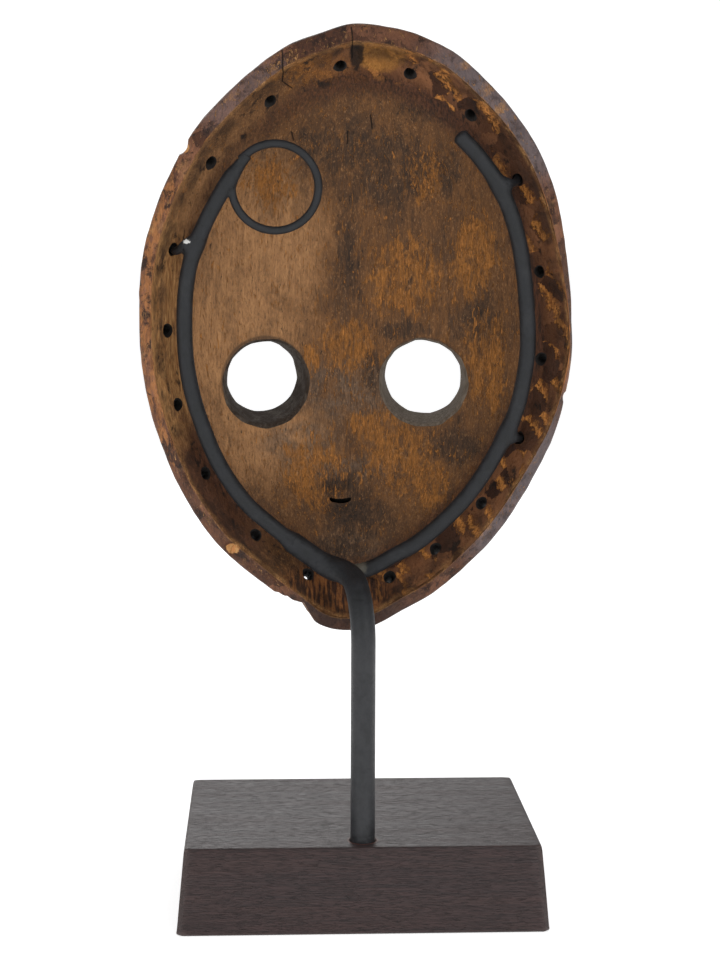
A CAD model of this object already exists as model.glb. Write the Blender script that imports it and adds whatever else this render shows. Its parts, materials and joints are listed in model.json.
# %% [markdown]
# # An old carved face mask on its display mount
#
# The object is a hollow wooden face mask that hangs on a bent steel post in a dark wooden block.
# The picture shows it from behind. This file dresses the measured parts: it makes a finely carved
# skin for the mask, smooth welded steel, a block with soft edges, and the finish of every surface.
#
# The measured parts come first. They are the fixed frame, and everything below is worked out from
# the same sizes, so each new piece lies exactly where the plain part lay.

import json
import math
from itertools import product

import bpy
import numpy as np
from mathutils import Matrix, Vector

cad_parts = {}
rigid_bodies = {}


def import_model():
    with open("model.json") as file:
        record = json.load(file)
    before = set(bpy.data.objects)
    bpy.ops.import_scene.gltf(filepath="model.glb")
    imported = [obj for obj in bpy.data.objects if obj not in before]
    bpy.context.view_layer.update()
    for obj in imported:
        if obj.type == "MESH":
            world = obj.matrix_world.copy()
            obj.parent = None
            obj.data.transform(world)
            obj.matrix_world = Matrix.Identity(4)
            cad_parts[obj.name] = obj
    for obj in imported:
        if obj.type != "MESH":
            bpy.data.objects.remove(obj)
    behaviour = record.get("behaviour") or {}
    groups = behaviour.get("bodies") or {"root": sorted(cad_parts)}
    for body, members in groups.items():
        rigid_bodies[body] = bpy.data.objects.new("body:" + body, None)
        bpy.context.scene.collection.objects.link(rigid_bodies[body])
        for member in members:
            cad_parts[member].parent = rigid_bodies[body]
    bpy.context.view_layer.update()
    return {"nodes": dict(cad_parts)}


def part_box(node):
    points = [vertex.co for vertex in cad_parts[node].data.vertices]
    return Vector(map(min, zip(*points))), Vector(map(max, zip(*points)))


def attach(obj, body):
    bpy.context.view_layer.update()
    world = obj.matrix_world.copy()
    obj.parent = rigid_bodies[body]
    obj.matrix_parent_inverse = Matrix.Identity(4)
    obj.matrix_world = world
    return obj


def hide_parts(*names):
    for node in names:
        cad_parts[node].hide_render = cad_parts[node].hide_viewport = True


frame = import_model()
print("measured parts:", ", ".join(sorted(frame["nodes"])))

# %% [markdown]
# ## The camera
#
# A camera can be aimed by eye, by a Track To constraint, or from three measured things: where it
# stands, which way it looks, and its focal length in pixels. The last is exact, so it is used here.
# Blender wants the lens in millimetres. On an upright picture the sensor's 36 mm lie along the
# height, so the lens is the focal length in picture heights times 36.

# %% Place the camera
PICTURE_HEIGHT = 955
FOCAL_PIXELS = 2000.0
SENSOR = 36.0
CAMERA_PLACE = Vector((0.03687, 0.79613, 0.26208))
CAMERA_AIM = Vector((-0.046453, -0.992386, -0.114070)).normalized()
CAMERA_ROLL = math.radians(0.20)

lens = bpy.data.cameras.new("photo_camera")
lens.sensor_width = SENSOR
lens.lens = FOCAL_PIXELS / PICTURE_HEIGHT * SENSOR
camera = bpy.data.objects.new("photo_camera", lens)
bpy.context.scene.collection.objects.link(camera)
level = CAMERA_AIM.cross(Vector((0.0, 0.0, 1.0))).normalized()
upward = level.cross(CAMERA_AIM)
right = level * math.cos(CAMERA_ROLL) + upward * math.sin(CAMERA_ROLL)
above = upward * math.cos(CAMERA_ROLL) - level * math.sin(CAMERA_ROLL)
turned = Matrix((right, above, -CAMERA_AIM)).transposed().to_4x4()
camera.matrix_world = Matrix.Translation(CAMERA_PLACE) @ turned
bpy.context.scene.camera = camera
print(f"camera: {lens.lens:.1f} mm lens, {CAMERA_PLACE.length:.2f} m from the block")

# %% [markdown]
# ## Soft steps, bells and noise
#
# Carving is built up from a few plain curves. A bell raises a mound, a soft step starts or ends a
# form, and noise keeps a surface from looking machined. Blender has noise textures, but a mesh that
# is worked out in arrays is easiest to control with noise that is worked out in arrays too.

# %% Curves and noise
def hill(offset, spread):
    """A bell: e to the power of minus the square of offset over spread."""
    return np.exp(-((offset / spread) ** 2))


def step_up(offset, softness):
    """A soft step from 0 to 1: one over one plus e to the power of minus offset over softness."""
    return 1.0 / (1.0 + np.exp(-offset / softness))


def ease(value, low, high):
    """0 up to low, 1 from high, and 3 t squared minus 2 t cubed between them."""
    t = np.clip((value - low) / (high - low), 0.0, 1.0)
    return t * t * (3.0 - 2.0 * t)


LATTICE = 64


def soft_noise(points, cell, seed):
    """Smooth noise from -1 to 1. Random numbers stand on the corners of a lattice of boxes with
    sides of cell, and a point blends its box's eight corners by the ease curve along each axis."""
    corners = np.random.default_rng(seed).uniform(-1.0, 1.0, (LATTICE,) * 3)
    place = points / np.asarray(cell)
    low = np.floor(place).astype(int)
    t = ease(place - low, 0.0, 1.0)
    total = 0.0
    for corner in product((0, 1), repeat=3):
        weight = np.where(corner, t, 1.0 - t).prod(-1)
        i, j, k = np.moveaxis((low + corner) % LATTICE, -1, 0)
        total = total + weight * corners[i, j, k]
    return total


def tool_cuts(points, cell, seed):
    """The square of the distance to the nearest of many scattered centres, one in each box of a
    lattice, measured in boxes. It is 0 in a cut's middle and has ridges where two cuts meet."""
    scatter = np.random.default_rng(seed).uniform(0.15, 0.85, (LATTICE,) * 3 + (3,))
    place = points / np.asarray(cell)
    low = np.floor(place).astype(int)
    nearest = np.full(place.shape[:-1], 9.0)
    for offset in product((-1, 0, 1), repeat=3):
        box = low + offset
        i, j, k = np.moveaxis(box % LATTICE, -1, 0)
        apart = ((place - box - scatter[i, j, k]) ** 2).sum(-1)
        nearest = np.minimum(nearest, apart)
    return nearest


print("noise in its own cell:", soft_noise(np.zeros((1, 3)), 1.0, 1).round(2))

# %% [markdown]
# ## The mask's own frame
#
# The mask leans back a little on its mount. It is easiest to carve it upright, in a frame of its
# own, and to turn every finished point into the world's frame: x across the face, z up, and depth
# forward from the plane that the back of the rim lies in.

# %% From the mask's frame to the world
MASK_PLACE = np.array((0.0057, 0.0270, 0.226909))
MASK_LEAN = math.radians(7.0)
LEANING = np.array(Matrix.Rotation(-MASK_LEAN, 3, "X"))


def in_mask(x, depth, z):
    """Points of the mask's frame, whose second number is minus the depth."""
    return np.stack(np.broadcast_arrays(x, -np.asarray(depth), z), -1).astype(float)


def to_world(points):
    """Turn by the lean about X, then move to the mask's place."""
    return points @ LEANING.T + MASK_PLACE


def to_mask(points):
    """Move back from the mask's place, then turn the other way."""
    return (points - MASK_PLACE) @ LEANING


print("the mask's middle is at", to_world(np.zeros((1, 3))).round(4))

# %% [markdown]
# ## Outline, hollow and face
#
# These are the same curves that the measured part follows. The outline is a smooth curve through a
# ring of corners. A share is a distance from the mask's middle, measured against the outline in the
# same direction, so 0 is the middle and 1 is the edge. The hollow and the front are both a power
# curve of the share, and the face adds mounds and steps to the front. The face is out of sight in
# the picture, so it is a calm one of plain proportions.

# %% The outline
MASK_HEIGHT = 0.238
MASK_WIDTH = 0.168
HALF_HEIGHT = MASK_HEIGHT / 2
HALF_WIDTH = MASK_WIDTH / 2
MIDDLE_X = -0.043 * HALF_WIDTH
OUTLINE = (
    (-0.045, 1.000), (0.120, 0.972), (0.290, 0.925), (0.448, 0.845), (0.600, 0.745),
    (0.715, 0.645), (0.827, 0.501), (0.911, 0.342), (0.948, 0.200), (0.957, 0.019),
    (0.940, -0.145), (0.885, -0.311), (0.776, -0.513), (0.620, -0.685), (0.467, -0.788),
    (0.330, -0.868), (0.215, -0.928), (0.110, -0.983), (0.000, -1.000), (-0.130, -0.985),
    (-0.270, -0.931), (-0.436, -0.861), (-0.645, -0.723), (-0.792, -0.585), (-0.923, -0.413),
    (-0.996, -0.278), (-1.037, -0.111), (-1.043, 0.021), (-1.013, 0.250), (-0.958, 0.443),
    (-0.869, 0.602), (-0.750, 0.727), (-0.625, 0.820), (-0.470, 0.912), (-0.281, 0.972),
)


def smooth_loop(points, steps):
    """A closed Catmull-Rom curve through points, each stretch cut into equal steps."""
    here = np.array(points, float)
    before, after, beyond = (np.roll(here, shift, 0)[:, None] for shift in (1, -1, -2))
    here = here[:, None]
    t = (np.arange(steps) / steps)[None, :, None]
    bend = (2 * before - 5 * here + 4 * after - beyond) * t**2
    turn = (3 * here - before - 3 * after + beyond) * t**3
    return (0.5 * (2 * here + (after - before) * t + bend + turn)).reshape(-1, 2)


loop = smooth_loop(OUTLINE, 12) * (HALF_WIDTH, HALF_HEIGHT) - (MIDDLE_X, 0.0)
loop_angles = np.arctan2(loop[:, 1], loop[:, 0])
loop_order = np.argsort(loop_angles)
OUTLINE_ANGLES = loop_angles[loop_order]
OUTLINE_RADII = np.hypot(*loop.T)[loop_order]


def outline_radius(angle):
    """Distance from the middle to the outline in the direction of angle."""
    return np.interp(angle, OUTLINE_ANGLES, OUTLINE_RADII, period=2 * math.pi)


def polar(x, z):
    """The direction of a point from the middle, and its share."""
    angle = np.arctan2(z, x - MIDDLE_X)
    return angle, np.hypot(x - MIDDLE_X, z) / outline_radius(angle)


def on_outline(angle, share):
    """x and z of the point at share in the direction of angle."""
    reach = outline_radius(angle) * share
    return MIDDLE_X + reach * np.cos(angle), reach * np.sin(angle)


print(f"outline: {len(OUTLINE)} corners, {OUTLINE_RADII.min():.3f} to {OUTLINE_RADII.max():.3f} m")

# %% The hollow behind
HOLLOW_DEPTH = 0.030
WALL = 0.022
RIM_THICKNESS = 0.009
RIM_CHAMFER_WIDTH = 0.0062
RIM_CHAMFER_DEPTH = 0.0040
RIM_WORN_WIDTH = 0.0034
WORN_SPREAD = math.radians(26.0)


def ridge_share(angle):
    """Where the rim's sloping band ends and the hollow starts. The band is wider at the top and
    the chin, as the square of the sine, and a bell narrows it on the worn side."""
    turn = angle % (2 * math.pi) - math.pi
    width = RIM_CHAMFER_WIDTH * (0.85 + 0.30 * np.sin(angle) ** 2)
    width = width - RIM_WORN_WIDTH * hill(turn, WORN_SPREAD)
    return 1.0 - width / outline_radius(angle)


def hollow_depth(x, z):
    """The hollow is a power curve of the share, and outside its ridge the band falls evenly."""
    angle, share = polar(x, z)
    ridge = ridge_share(angle)
    hollow = HOLLOW_DEPTH * (1.0 - np.clip(share / ridge, 0.0, 1.0) ** 2.6) ** 0.62
    return hollow + RIM_CHAMFER_DEPTH * np.clip((share - ridge) / (1.0 - ridge), 0.0, 1.0)


print(f"hollow: {1000 * float(hollow_depth(0.0, 0.0)):.1f} mm deep in the middle")

# %% The face in front
MOUTH_LEVEL = -0.615
EYE_Z = -0.185 * HALF_HEIGHT
EYE_SPACING = 0.0630
EYE_TUNNEL = 0.018
EYE_BORE_BACK = 0.0338
EYES = {
    "eye_plus_x": (1, 0.0286, math.radians(6.5)),
    "eye_minus_x": (-1, 0.0308, math.radians(4.2)),
}
FOREHEAD = (0.060, 0.0, 0.44, 0.66, 0.34)
CREST = (0.010, 0.0, 0.50, 0.05, 0.26)
CHEEKS = (0.030, 0.46, -0.50, 0.22, 0.17)
CHIN = (0.050, 0.0, -0.850, 0.24, 0.085)
NOSE_WINGS = (0.040, 0.135, -0.375, 0.060, 0.046)
MOUTH_MOUND = (0.050, 0.0, MOUTH_LEVEL, 0.36, 0.17)
UPPER_LIP = (0.044, 0.060, 0.036)
LOWER_LIP = (0.048, -0.064, 0.042)
MOUTH_GROOVE = (-0.034, 0.0, 0.020)


def swelling(x, z, form):
    """A bell across times a bell upwards. A form that stands aside of the midline has a twin."""
    height, aside, level, across, up = form
    spread_across = hill(np.abs(x) - aside * HALF_WIDTH, across * HALF_WIDTH)
    return height * HALF_HEIGHT * spread_across * hill(z - level * HALF_HEIGHT, up * HALF_HEIGHT)


def eye_field(x, z):
    """Under the brow's falling curve, soft steps set the face back, as far as the cheeks."""
    w, h = HALF_WIDTH, HALF_HEIGHT
    brow = 0.075 * h - 0.16 * h * (x / w) ** 2
    inside = step_up(0.74 * w - np.abs(x), 0.07 * w) * step_up(z + 0.42 * h, 0.085 * h)
    return -0.062 * h * step_up(brow - z, 0.022 * h) * inside


def nose_relief(x, z):
    """A bell across whose height and width grow as powers of the way down, between soft steps."""
    w, h = HALF_WIDTH, HALF_HEIGHT
    down = np.clip((0.06 * h - z) / (0.46 * h), 0.0, 1.0)
    half_nose = (0.070 + 0.075 * down**1.8) * w
    span = step_up(z + 0.425 * h, 0.013 * h) * step_up(0.075 * h - z, 0.030 * h)
    ridge = (0.060 + 0.085 * down**1.2) * h * hill(x, half_nose) * span
    return ridge + swelling(x, z, NOSE_WINGS)


def mouth_relief(x, z):
    """Three bells upwards, two lips and a groove, bent as the square of x, on a low mound."""
    lips = 0.0
    bow = 0.45 * (x / HALF_WIDTH) ** 2
    for (height, level, up), bend in ((UPPER_LIP, bow), (LOWER_LIP, -bow), (MOUTH_GROOVE, 0.0)):
        lips = lips + height * HALF_HEIGHT * hill(z / HALF_HEIGHT - MOUTH_LEVEL - level + bend, up)
    return swelling(x, z, MOUTH_MOUND) + lips * np.exp(-((x / (0.30 * HALF_WIDTH)) ** 4))


def eye_rings(x, z):
    """A low raised ring round each eye: a bell of the distance from the eye's edge."""
    rings = 0.0
    for side, bore, splay in EYES.values():
        middle = side * (EYE_SPACING / 2 + EYE_TUNNEL * math.tan(splay))
        away = np.hypot(x - middle, z - EYE_Z)
        rings = rings + 0.0030 * hill(away - bore / 2 - 0.0022, 0.0030)
    return rings


def front_height(x, z):
    """A power curve of the share over the rim, with the face on it, which fades at the edge."""
    _, share = polar(x, z)
    share = np.minimum(share, 1.0)
    dome = (HOLLOW_DEPTH + WALL - RIM_THICKNESS) * (1.0 - share**2.4) ** 0.60
    face = sum(swelling(x, z, form) for form in (FOREHEAD, CREST, CHEEKS, CHIN))
    face = face + eye_field(x, z) + nose_relief(x, z) + mouth_relief(x, z) + eye_rings(x, z)
    return RIM_THICKNESS + dome + face * (1.0 - share**8)


nose_height = 1000 * float(front_height(0.0, -0.0345))
print(f"the nose stands {nose_height:.0f} mm in front of the rim's back")

# %% [markdown]
# ## Carving the mask
#
# The whole skin is one grid. Its columns run round the mask and its rows run from the middle of
# the face, over the rim, into the hollow. Sculpting by hand or a Displace modifier could roughen
# it, but here each point moves along its own normal by a sum of small formulas, one for each cause:
# gouge cuts, the slow warp of old wood, fibres that stand up, and chips knocked out of the edge.
# Wood only ever wears away, so at the edge every cause takes some off and none adds any.

# %% Grid to mesh
def add_piece(name, vertices, faces, smooth_under=40.0):
    """A mesh object from arrays, shaded smooth except over edges sharper than smooth_under."""
    data = bpy.data.meshes.new(name)
    data.from_pydata(vertices.reshape(-1, 3).tolist(), [], faces)
    data.update()
    data.shade_smooth()
    data.set_sharp_from_angle(angle=math.radians(smooth_under))
    made = bpy.data.objects.new(name, data)
    bpy.context.scene.collection.objects.link(made)
    return made


def closed_skin(rows):
    """Vertices and faces of a grid whose columns close on themselves. rows is rows by columns by
    3. Four-sided faces join neighbours, and at each end triangles close on the row's middle."""
    count, columns = rows.shape[:2]
    first, last = rows[0].mean(0), rows[-1].mean(0)
    vertices = np.concatenate((rows.reshape(-1, 3), first[None], last[None]))
    row, column = np.meshgrid(np.arange(count - 1), np.arange(columns), indexing="ij")
    beside = (column + 1) % columns
    a, b = row * columns + column, (row + 1) * columns + column
    c, d = (row + 1) * columns + beside, row * columns + beside
    quads = np.stack((a, b, c, d), -1).reshape(-1, 4).tolist()
    here = np.arange(columns)
    there = (here + 1) % columns
    start, end = count * columns, count * columns + 1
    final = (count - 1) * columns
    opening = np.stack((np.full(columns, start), here, there), -1).tolist()
    closing = np.stack((np.full(columns, end), there + final, here + final), -1).tolist()
    return vertices, quads + opening + closing


print("a grid of 3 by 4 points has", len(closed_skin(np.zeros((3, 4, 3)))[1]), "faces")

# %% Rows from the face over the rim to the hollow
COLUMNS = 480
TURN = np.linspace(0.0, 2 * math.pi, COLUMNS, endpoint=False)
RIDGE = ridge_share(TURN)


def crowd(low, high, count, power=2.0):
    """Steps from low to high that crowd towards high: one minus a power of what is left."""
    left = np.linspace(1.0, 0.0, count)
    return high - (high - low) * left**power


front_shares = np.concatenate((np.linspace(0.012, 0.80, 58), crowd(0.815, 0.9995, 20)))
front_x, front_z = on_outline(TURN, front_shares[:, None])
front_rows = in_mask(front_x, front_height(front_x, front_z), front_z)
edge_x, edge_z = on_outline(TURN, 1.0)
side_depths = np.linspace(RIM_THICKNESS, RIM_CHAMFER_DEPTH, 5)[:, None]
side_rows = in_mask(edge_x, side_depths, edge_z)
band = np.linspace(1.0, 0.0, 9)[1:-1, None]
band_x, band_z = on_outline(TURN, RIDGE + (1.0 - RIDGE) * band)
band_rows = in_mask(band_x, RIM_CHAMFER_DEPTH * band, band_z)
back_shares = np.concatenate((np.linspace(0.012, 0.79, 64), crowd(0.80, 1.0, 24, 2.4)))[::-1]
back_x, back_z = on_outline(TURN, RIDGE * back_shares[:, None])
back_rows = in_mask(back_x, hollow_depth(back_x, back_z), back_z)
skin = np.concatenate((front_rows, side_rows, band_rows, back_rows))
print(f"mask skin: {skin.shape[0]} rows of {skin.shape[1]} points")

# %% Soften the rim's edges
FRONT_END = len(front_rows)
BAND_END = FRONT_END + len(side_rows) + len(band_rows)
RIM_ROWS = np.zeros(len(skin))
RIM_ROWS[FRONT_END - 3:BAND_END + 4] = 0.5
for _ in range(2):
    between = (np.roll(skin, 1, 0) + np.roll(skin, -1, 0)) / 2
    skin = skin + (between - skin) * RIM_ROWS[:, None, None]
print("rounded rows:", int((RIM_ROWS > 0).sum()))

# %% Wear, warp and tool marks
CHIPS = {
    "upper rim": (0.0625, 0.0723, 0.0026, 0.0013),
    "lower rim": (0.0446, -0.0836, 0.0030, 0.0014),
    "worn side": (-0.0838, 0.0500, 0.0020, 0.0008),
    "under the worn side": (-0.0860, -0.0230, 0.0018, 0.0007),
}


def row_normals(rows):
    """Each point's outward normal: the step along its column crossed with the step round."""
    along = np.gradient(rows, axis=0)
    around = np.roll(rows, -1, 1) - np.roll(rows, 1, 1)
    normal = np.cross(along, around)
    return normal / np.maximum(np.linalg.norm(normal, axis=-1, keepdims=True), 1e-12)


def hollow_marks(points):
    """Gouge cuts in boxes longer than wide, the wood's slow warp, and raised fibres."""
    cuts = 0.00062 * (tool_cuts(points, (0.0095, 0.0150, 0.0170), 3) - 0.42)
    small = 0.00022 * (tool_cuts(points, (0.0046, 0.0080, 0.0088), 4) - 0.40)
    warp = 0.00055 * soft_noise(points, 0.034, 5)
    fibres = 0.00010 * soft_noise(points, (0.0016, 0.0040, 0.0150), 6)
    _, share = polar(points[..., 0], points[..., 2])
    by_wall = ease(share, 0.78, 0.88) * step_up(0.010 - points[..., 0], 0.012)
    chips = 0.00110 * by_wall * (tool_cuts(points, (0.0080, 0.0120, 0.0110), 13) - 0.45)
    return cuts + small + warp + fibres + chips - mouth_dent(points)


def mouth_dent(points):
    """Behind the mouth the wood was dug out a little: a bell across times a bell upwards."""
    x, z = points[..., 0], points[..., 2]
    dug = 0.0030 * hill(x - 0.0015, 0.0085) * hill(z + 0.0690, 0.0050)
    return dug - 0.0010 * hill(x - 0.0005, 0.0100) * hill(z + 0.0790, 0.0045)


def front_marks(points):
    """Small knife cuts, smoothed by use, and a slow warp."""
    cuts = 0.00030 * (tool_cuts(points, 0.0085, 7) - 0.40)
    return cuts + 0.00040 * soft_noise(points, 0.040, 8) + 0.00006 * soft_noise(points, 0.0025, 9)


def rim_marks(points):
    """Flat knife cuts along the rim, taken off only, and a little roughness."""
    cuts = 0.00050 * (tool_cuts(points, 0.0190, 10) - 0.9)
    return np.minimum(cuts + 0.00012 * soft_noise(points, 0.0035, 11), 0.0)


def chip_depth(points):
    """Each chip takes off one minus the square of the distance over its reach, where positive."""
    taken = 0.0
    for x, z, reach, depth in CHIPS.values():
        away = np.hypot(points[..., 0] - x, points[..., 2] - z) / reach
        taken = taken + depth * np.clip(1.0 - away**2, 0.0, 1.0) ** 0.5
    return taken


rows = np.arange(len(skin))
is_back = ease(rows, BAND_END - 1, BAND_END + 5)[:, None]
is_front = ease(-rows, -FRONT_END + 2, -FRONT_END + 16)[:, None]
is_rim = np.clip(1.0 - is_back - is_front, 0.0, 1.0)
nicks = np.clip(soft_noise(skin, 0.0045, 12) - 0.25, 0.0, 1.0)
nicks = nicks * hill(rows - BAND_END, 3.0)[:, None]
relief = is_back * hollow_marks(skin) + is_front * front_marks(skin) + is_rim * rim_marks(skin)
relief = relief - 0.00110 * nicks - (is_rim + 0.4 * is_back) * chip_depth(skin)
skin = skin + row_normals(skin) * relief[..., None]
print(f"relief: {1000 * relief.min():.2f} to {1000 * relief.max():.2f} mm")

# %% [markdown]
# ## Openings
#
# Eyes, perforations, mouth and the broken notch are real openings, so they are cut. A Boolean with
# a collection of cutters does them all at once, and each cutter brings its own material for the
# freshly cut wall. The cutters are grids too, with knife facets, flared edges and torn fibres that
# a plain cylinder would not have.

# %% Materials that the cutters bring
def new_material(name):
    made = bpy.data.materials.new(name)
    made.use_nodes = True
    return made


CARVED_WOOD = new_material("carved_wood")
KNIFE_CUT_WOOD = new_material("knife_cut_wood")
PIERCED_WOOD = new_material("pierced_wood")
TORN_WOOD = new_material("torn_wood")
cutters = bpy.data.collections.new("cutters")
bpy.context.scene.collection.children.link(cutters)


def add_cutter(name, rows, material):
    """A closed grid in the mask's frame becomes a cutter with its own material."""
    vertices, faces = closed_skin(rows)
    made = add_piece(name, to_world(vertices), faces)
    made.data.materials.append(material)
    bpy.context.scene.collection.objects.unlink(made)
    cutters.objects.link(made)
    return made


print("materials:", ", ".join(material.name for material in bpy.data.materials))

# %% Eyes
EYE_WAYS = np.array((-0.45, -0.10, -0.03, 0.0, 0.03, 0.07, 0.13, 0.25, 0.4, 0.55, 0.7, 0.82, 0.9,
                     0.95, 0.98, 1.0, 1.02, 1.06, 1.4))
EYE_COLUMNS = 96
EYE_FACETS = 11
EYE_FLARE = 0.0011


def eye_rows(side, bore, splay, seed):
    """Round the eye's axis, the wall runs from the hollow's floor (way 0) to the face (way 1). Its
    radius narrows evenly, flares as a bell at both ends, and is cut in flats: the radius of a
    polygon is its inner radius over the cosine of the angle from the middle of the side."""
    turn = np.linspace(0.0, 2 * math.pi, EYE_COLUMNS, endpoint=False)
    way = EYE_WAYS[:, None]
    radius = EYE_BORE_BACK / 2 + (bore - EYE_BORE_BACK) / 2 * np.clip(way, 0.0, 1.0)
    middle_x = side * EYE_SPACING / 2
    floor_depth = hollow_depth(middle_x, EYE_Z)
    rim_x, rim_z = middle_x + radius * np.cos(turn), EYE_Z + radius * np.sin(turn)
    shift = side * math.tan(splay) * EYE_TUNNEL
    floor = hollow_depth(rim_x, rim_z)
    face = front_height(rim_x + shift, rim_z)
    depth = floor + (face - floor) * way
    flat = 2 * math.pi / EYE_FACETS
    from_flat = (turn + 0.35 * way + seed) % flat - flat / 2
    faceted = 1.0 + 0.40 * (1.0 / np.cos(from_flat) - 1.02)
    rough = 0.00034 * soft_noise(in_mask(rim_x, depth, rim_z), 0.0060, seed)
    flare = EYE_FLARE * (hill(way, 0.055) + 0.6 * hill(way - 1.0, 0.035))
    radius = radius * faceted + rough + flare
    centre = middle_x + side * math.tan(splay) * (depth - floor_depth)
    return in_mask(centre + radius * np.cos(turn), depth, EYE_Z + radius * np.sin(turn))


for seed, (name, (side, bore, splay)) in enumerate(EYES.items(), 21):
    add_cutter(name, eye_rows(side, bore, splay, seed)[:, ::-1], KNIFE_CUT_WOOD)
print("eye cutters:", ", ".join(EYES))

# %% Perforations
PERFORATIONS = (1.5, 25.3, 49.9, 69.6, 86.2, 101.0, 116.9, 135.4, 160.7, 187.5, 212.3, 233.2,
                249.4, 261.8, 280.7, 296.0, 317.0, 338.5)
PERFORATION_BORE = 0.0044
PERFORATION_SHARE = 0.87
PERFORATION_TILT = math.radians(24.0)
HOLE_RUN = np.array((-0.0060, -0.0008, -0.0001, 0.0006, 0.0016, 0.0040, 0.0080, 0.0130, 0.0352))
HOLE_BEND = 14.0
HOLE_COLUMNS = 20
LIT_HOLE = 280.7


def hole_axis(degrees):
    """Where a perforation opens into the hollow, and its direction forwards and outwards."""
    angle = math.radians(degrees)
    x, z = on_outline(angle, PERFORATION_SHARE)
    outwards = in_mask(math.cos(angle), 0.0, math.sin(angle)) * math.sin(PERFORATION_TILT)
    forwards = in_mask(0.0, math.cos(PERFORATION_TILT), 0.0)
    return in_mask(x, hollow_depth(x, z), z), outwards + forwards


def round_frame(direction):
    """Two unit vectors square to direction and to each other."""
    side = np.cross(direction, (0.0, 0.0, 1.0))
    side = side / np.linalg.norm(side)
    return side, np.cross(side, direction)


def hole_rows(degrees, seed):
    """A tube with uneven walls and a bell-shaped flare at its mouth. A hot iron made it, and it
    wanders outwards as the square of the run, so that no light shows, but for one hole."""
    opening, direction = hole_axis(degrees)
    side, other = round_frame(direction)
    turn = np.linspace(0.0, 2 * math.pi, HOLE_COLUMNS, endpoint=False)[:, None]
    round_it = side * np.cos(turn) + other * np.sin(turn)
    run = HOLE_RUN[:, None, None]
    bend = 0.0 if degrees == LIT_HOLE else HOLE_BEND
    outwards = in_mask(direction[0], 0.0, direction[2])
    centre = opening + direction * run + outwards * bend * np.maximum(run, 0.0) ** 2
    uneven = 1.0 + 0.10 * soft_noise(centre + round_it * 0.002, 0.0021, seed)[..., None]
    narrow = 1.0 - 0.45 * ease(run, 0.001, 0.012)
    radius = PERFORATION_BORE / 2 * (0.86 * narrow + 0.42 * hill(run, 0.0010)) * uneven
    return centre + round_it * radius


for number, degrees in enumerate(PERFORATIONS, 1):
    add_cutter(f"perforation_{number:02d}", hole_rows(degrees, 30 + number), PIERCED_WOOD)
print("perforations:", len(PERFORATIONS))

# %% Mouth
SLIT = (0.0088, 0.0020)
SLIT_MIDDLE = (0.0015, -0.0700)
SLIT_TILT = math.tan(math.radians(5.5))
SLIT_STEPS = 15


def slit_rows():
    """A flat tube through the wall that narrows on its way and has ragged, bowed sides: an
    ellipse of the fourth power, and the bow is the square of the way across."""
    turn = np.linspace(0.0, 2 * math.pi, 48, endpoint=False)
    way = np.linspace(-0.5, 1.3, SLIT_STEPS)[:, None]
    cosine, sine = np.cos(turn), np.sin(turn)
    size = (cosine**4 + sine**4) ** -0.25
    narrow = 1.0 - 0.55 * ease(way, 0.1, 0.6)
    x = SLIT[0] / 2 * cosine * size * (1.0 - 0.15 * ease(way, 0.1, 0.6))
    z = SLIT[1] / 2 * sine * size * narrow + 0.0012 * cosine**2
    depth = np.broadcast_to(hollow_depth(*SLIT_MIDDLE) + WALL * way, x.shape)
    rough = 0.00055 * soft_noise(in_mask(x, depth, z), 0.0024, 52)
    sink = (0.0040 - 0.0012 * ease(cosine, 0.4, 0.9)) * ease(way, 0.05, 0.5)
    sink = sink + SLIT_TILT * WALL * way
    return in_mask(SLIT_MIDDLE[0] + x + rough, depth, SLIT_MIDDLE[1] + z + rough - sink)


add_cutter("mouth_slit", slit_rows()[:, ::-1], KNIFE_CUT_WOOD)
print("mouth slit:", SLIT[0] * 1000, "mm wide")

# %% The broken notch
BREAK_CORNER = np.array((0.196 * HALF_WIDTH, -0.891 * HALF_HEIGHT))
BREAK_EDGES = (math.radians(241.4), math.radians(18.7))
BREAK_REACH = 0.030
BREAK_DEPTHS = np.linspace(-0.020, 0.060, 64)


def break_rows():
    """A path in the rim's plane leads along one broken edge to the corner and out along the
    other, and closes outside the rim. It is carried through the wall, and each point moves by
    noise that is stretched along the grain, as torn fibres are."""
    first, second = (np.array((math.cos(edge), math.sin(edge))) for edge in BREAK_EDGES)
    steps = np.linspace(0.0, 1.0, 36)[:, None]
    inwards = BREAK_CORNER + first * BREAK_REACH * (1.0 - steps)
    outwards = BREAK_CORNER + second * BREAK_REACH * steps[1:]
    far = BREAK_CORNER + (first + second) * BREAK_REACH
    closing = outwards[-1] + (far - outwards[-1]) * steps[1:]
    back = far + (inwards[0] - far) * steps[1:-1]
    path = np.concatenate((inwards, outwards, closing, back))
    rows = in_mask(path[:, 0], BREAK_DEPTHS[:, None], path[:, 1])
    coarse = 0.0011 * soft_noise(rows, (0.0040, 0.0060, 0.0130), 61)
    splinters = 0.0006 * soft_noise(rows, (0.0010, 0.0035, 0.0110), 62)
    torn = coarse + splinters
    slope = 0.0022 * ease(BREAK_DEPTHS, 0.0, 0.02)[:, None]
    return rows + in_mask(0.35 * torn + slope, 0.0, torn - slope)


add_cutter("chin_break", break_rows(), TORN_WOOD)
print("broken notch: corner at", (1000 * BREAK_CORNER).round(1), "mm")

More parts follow.
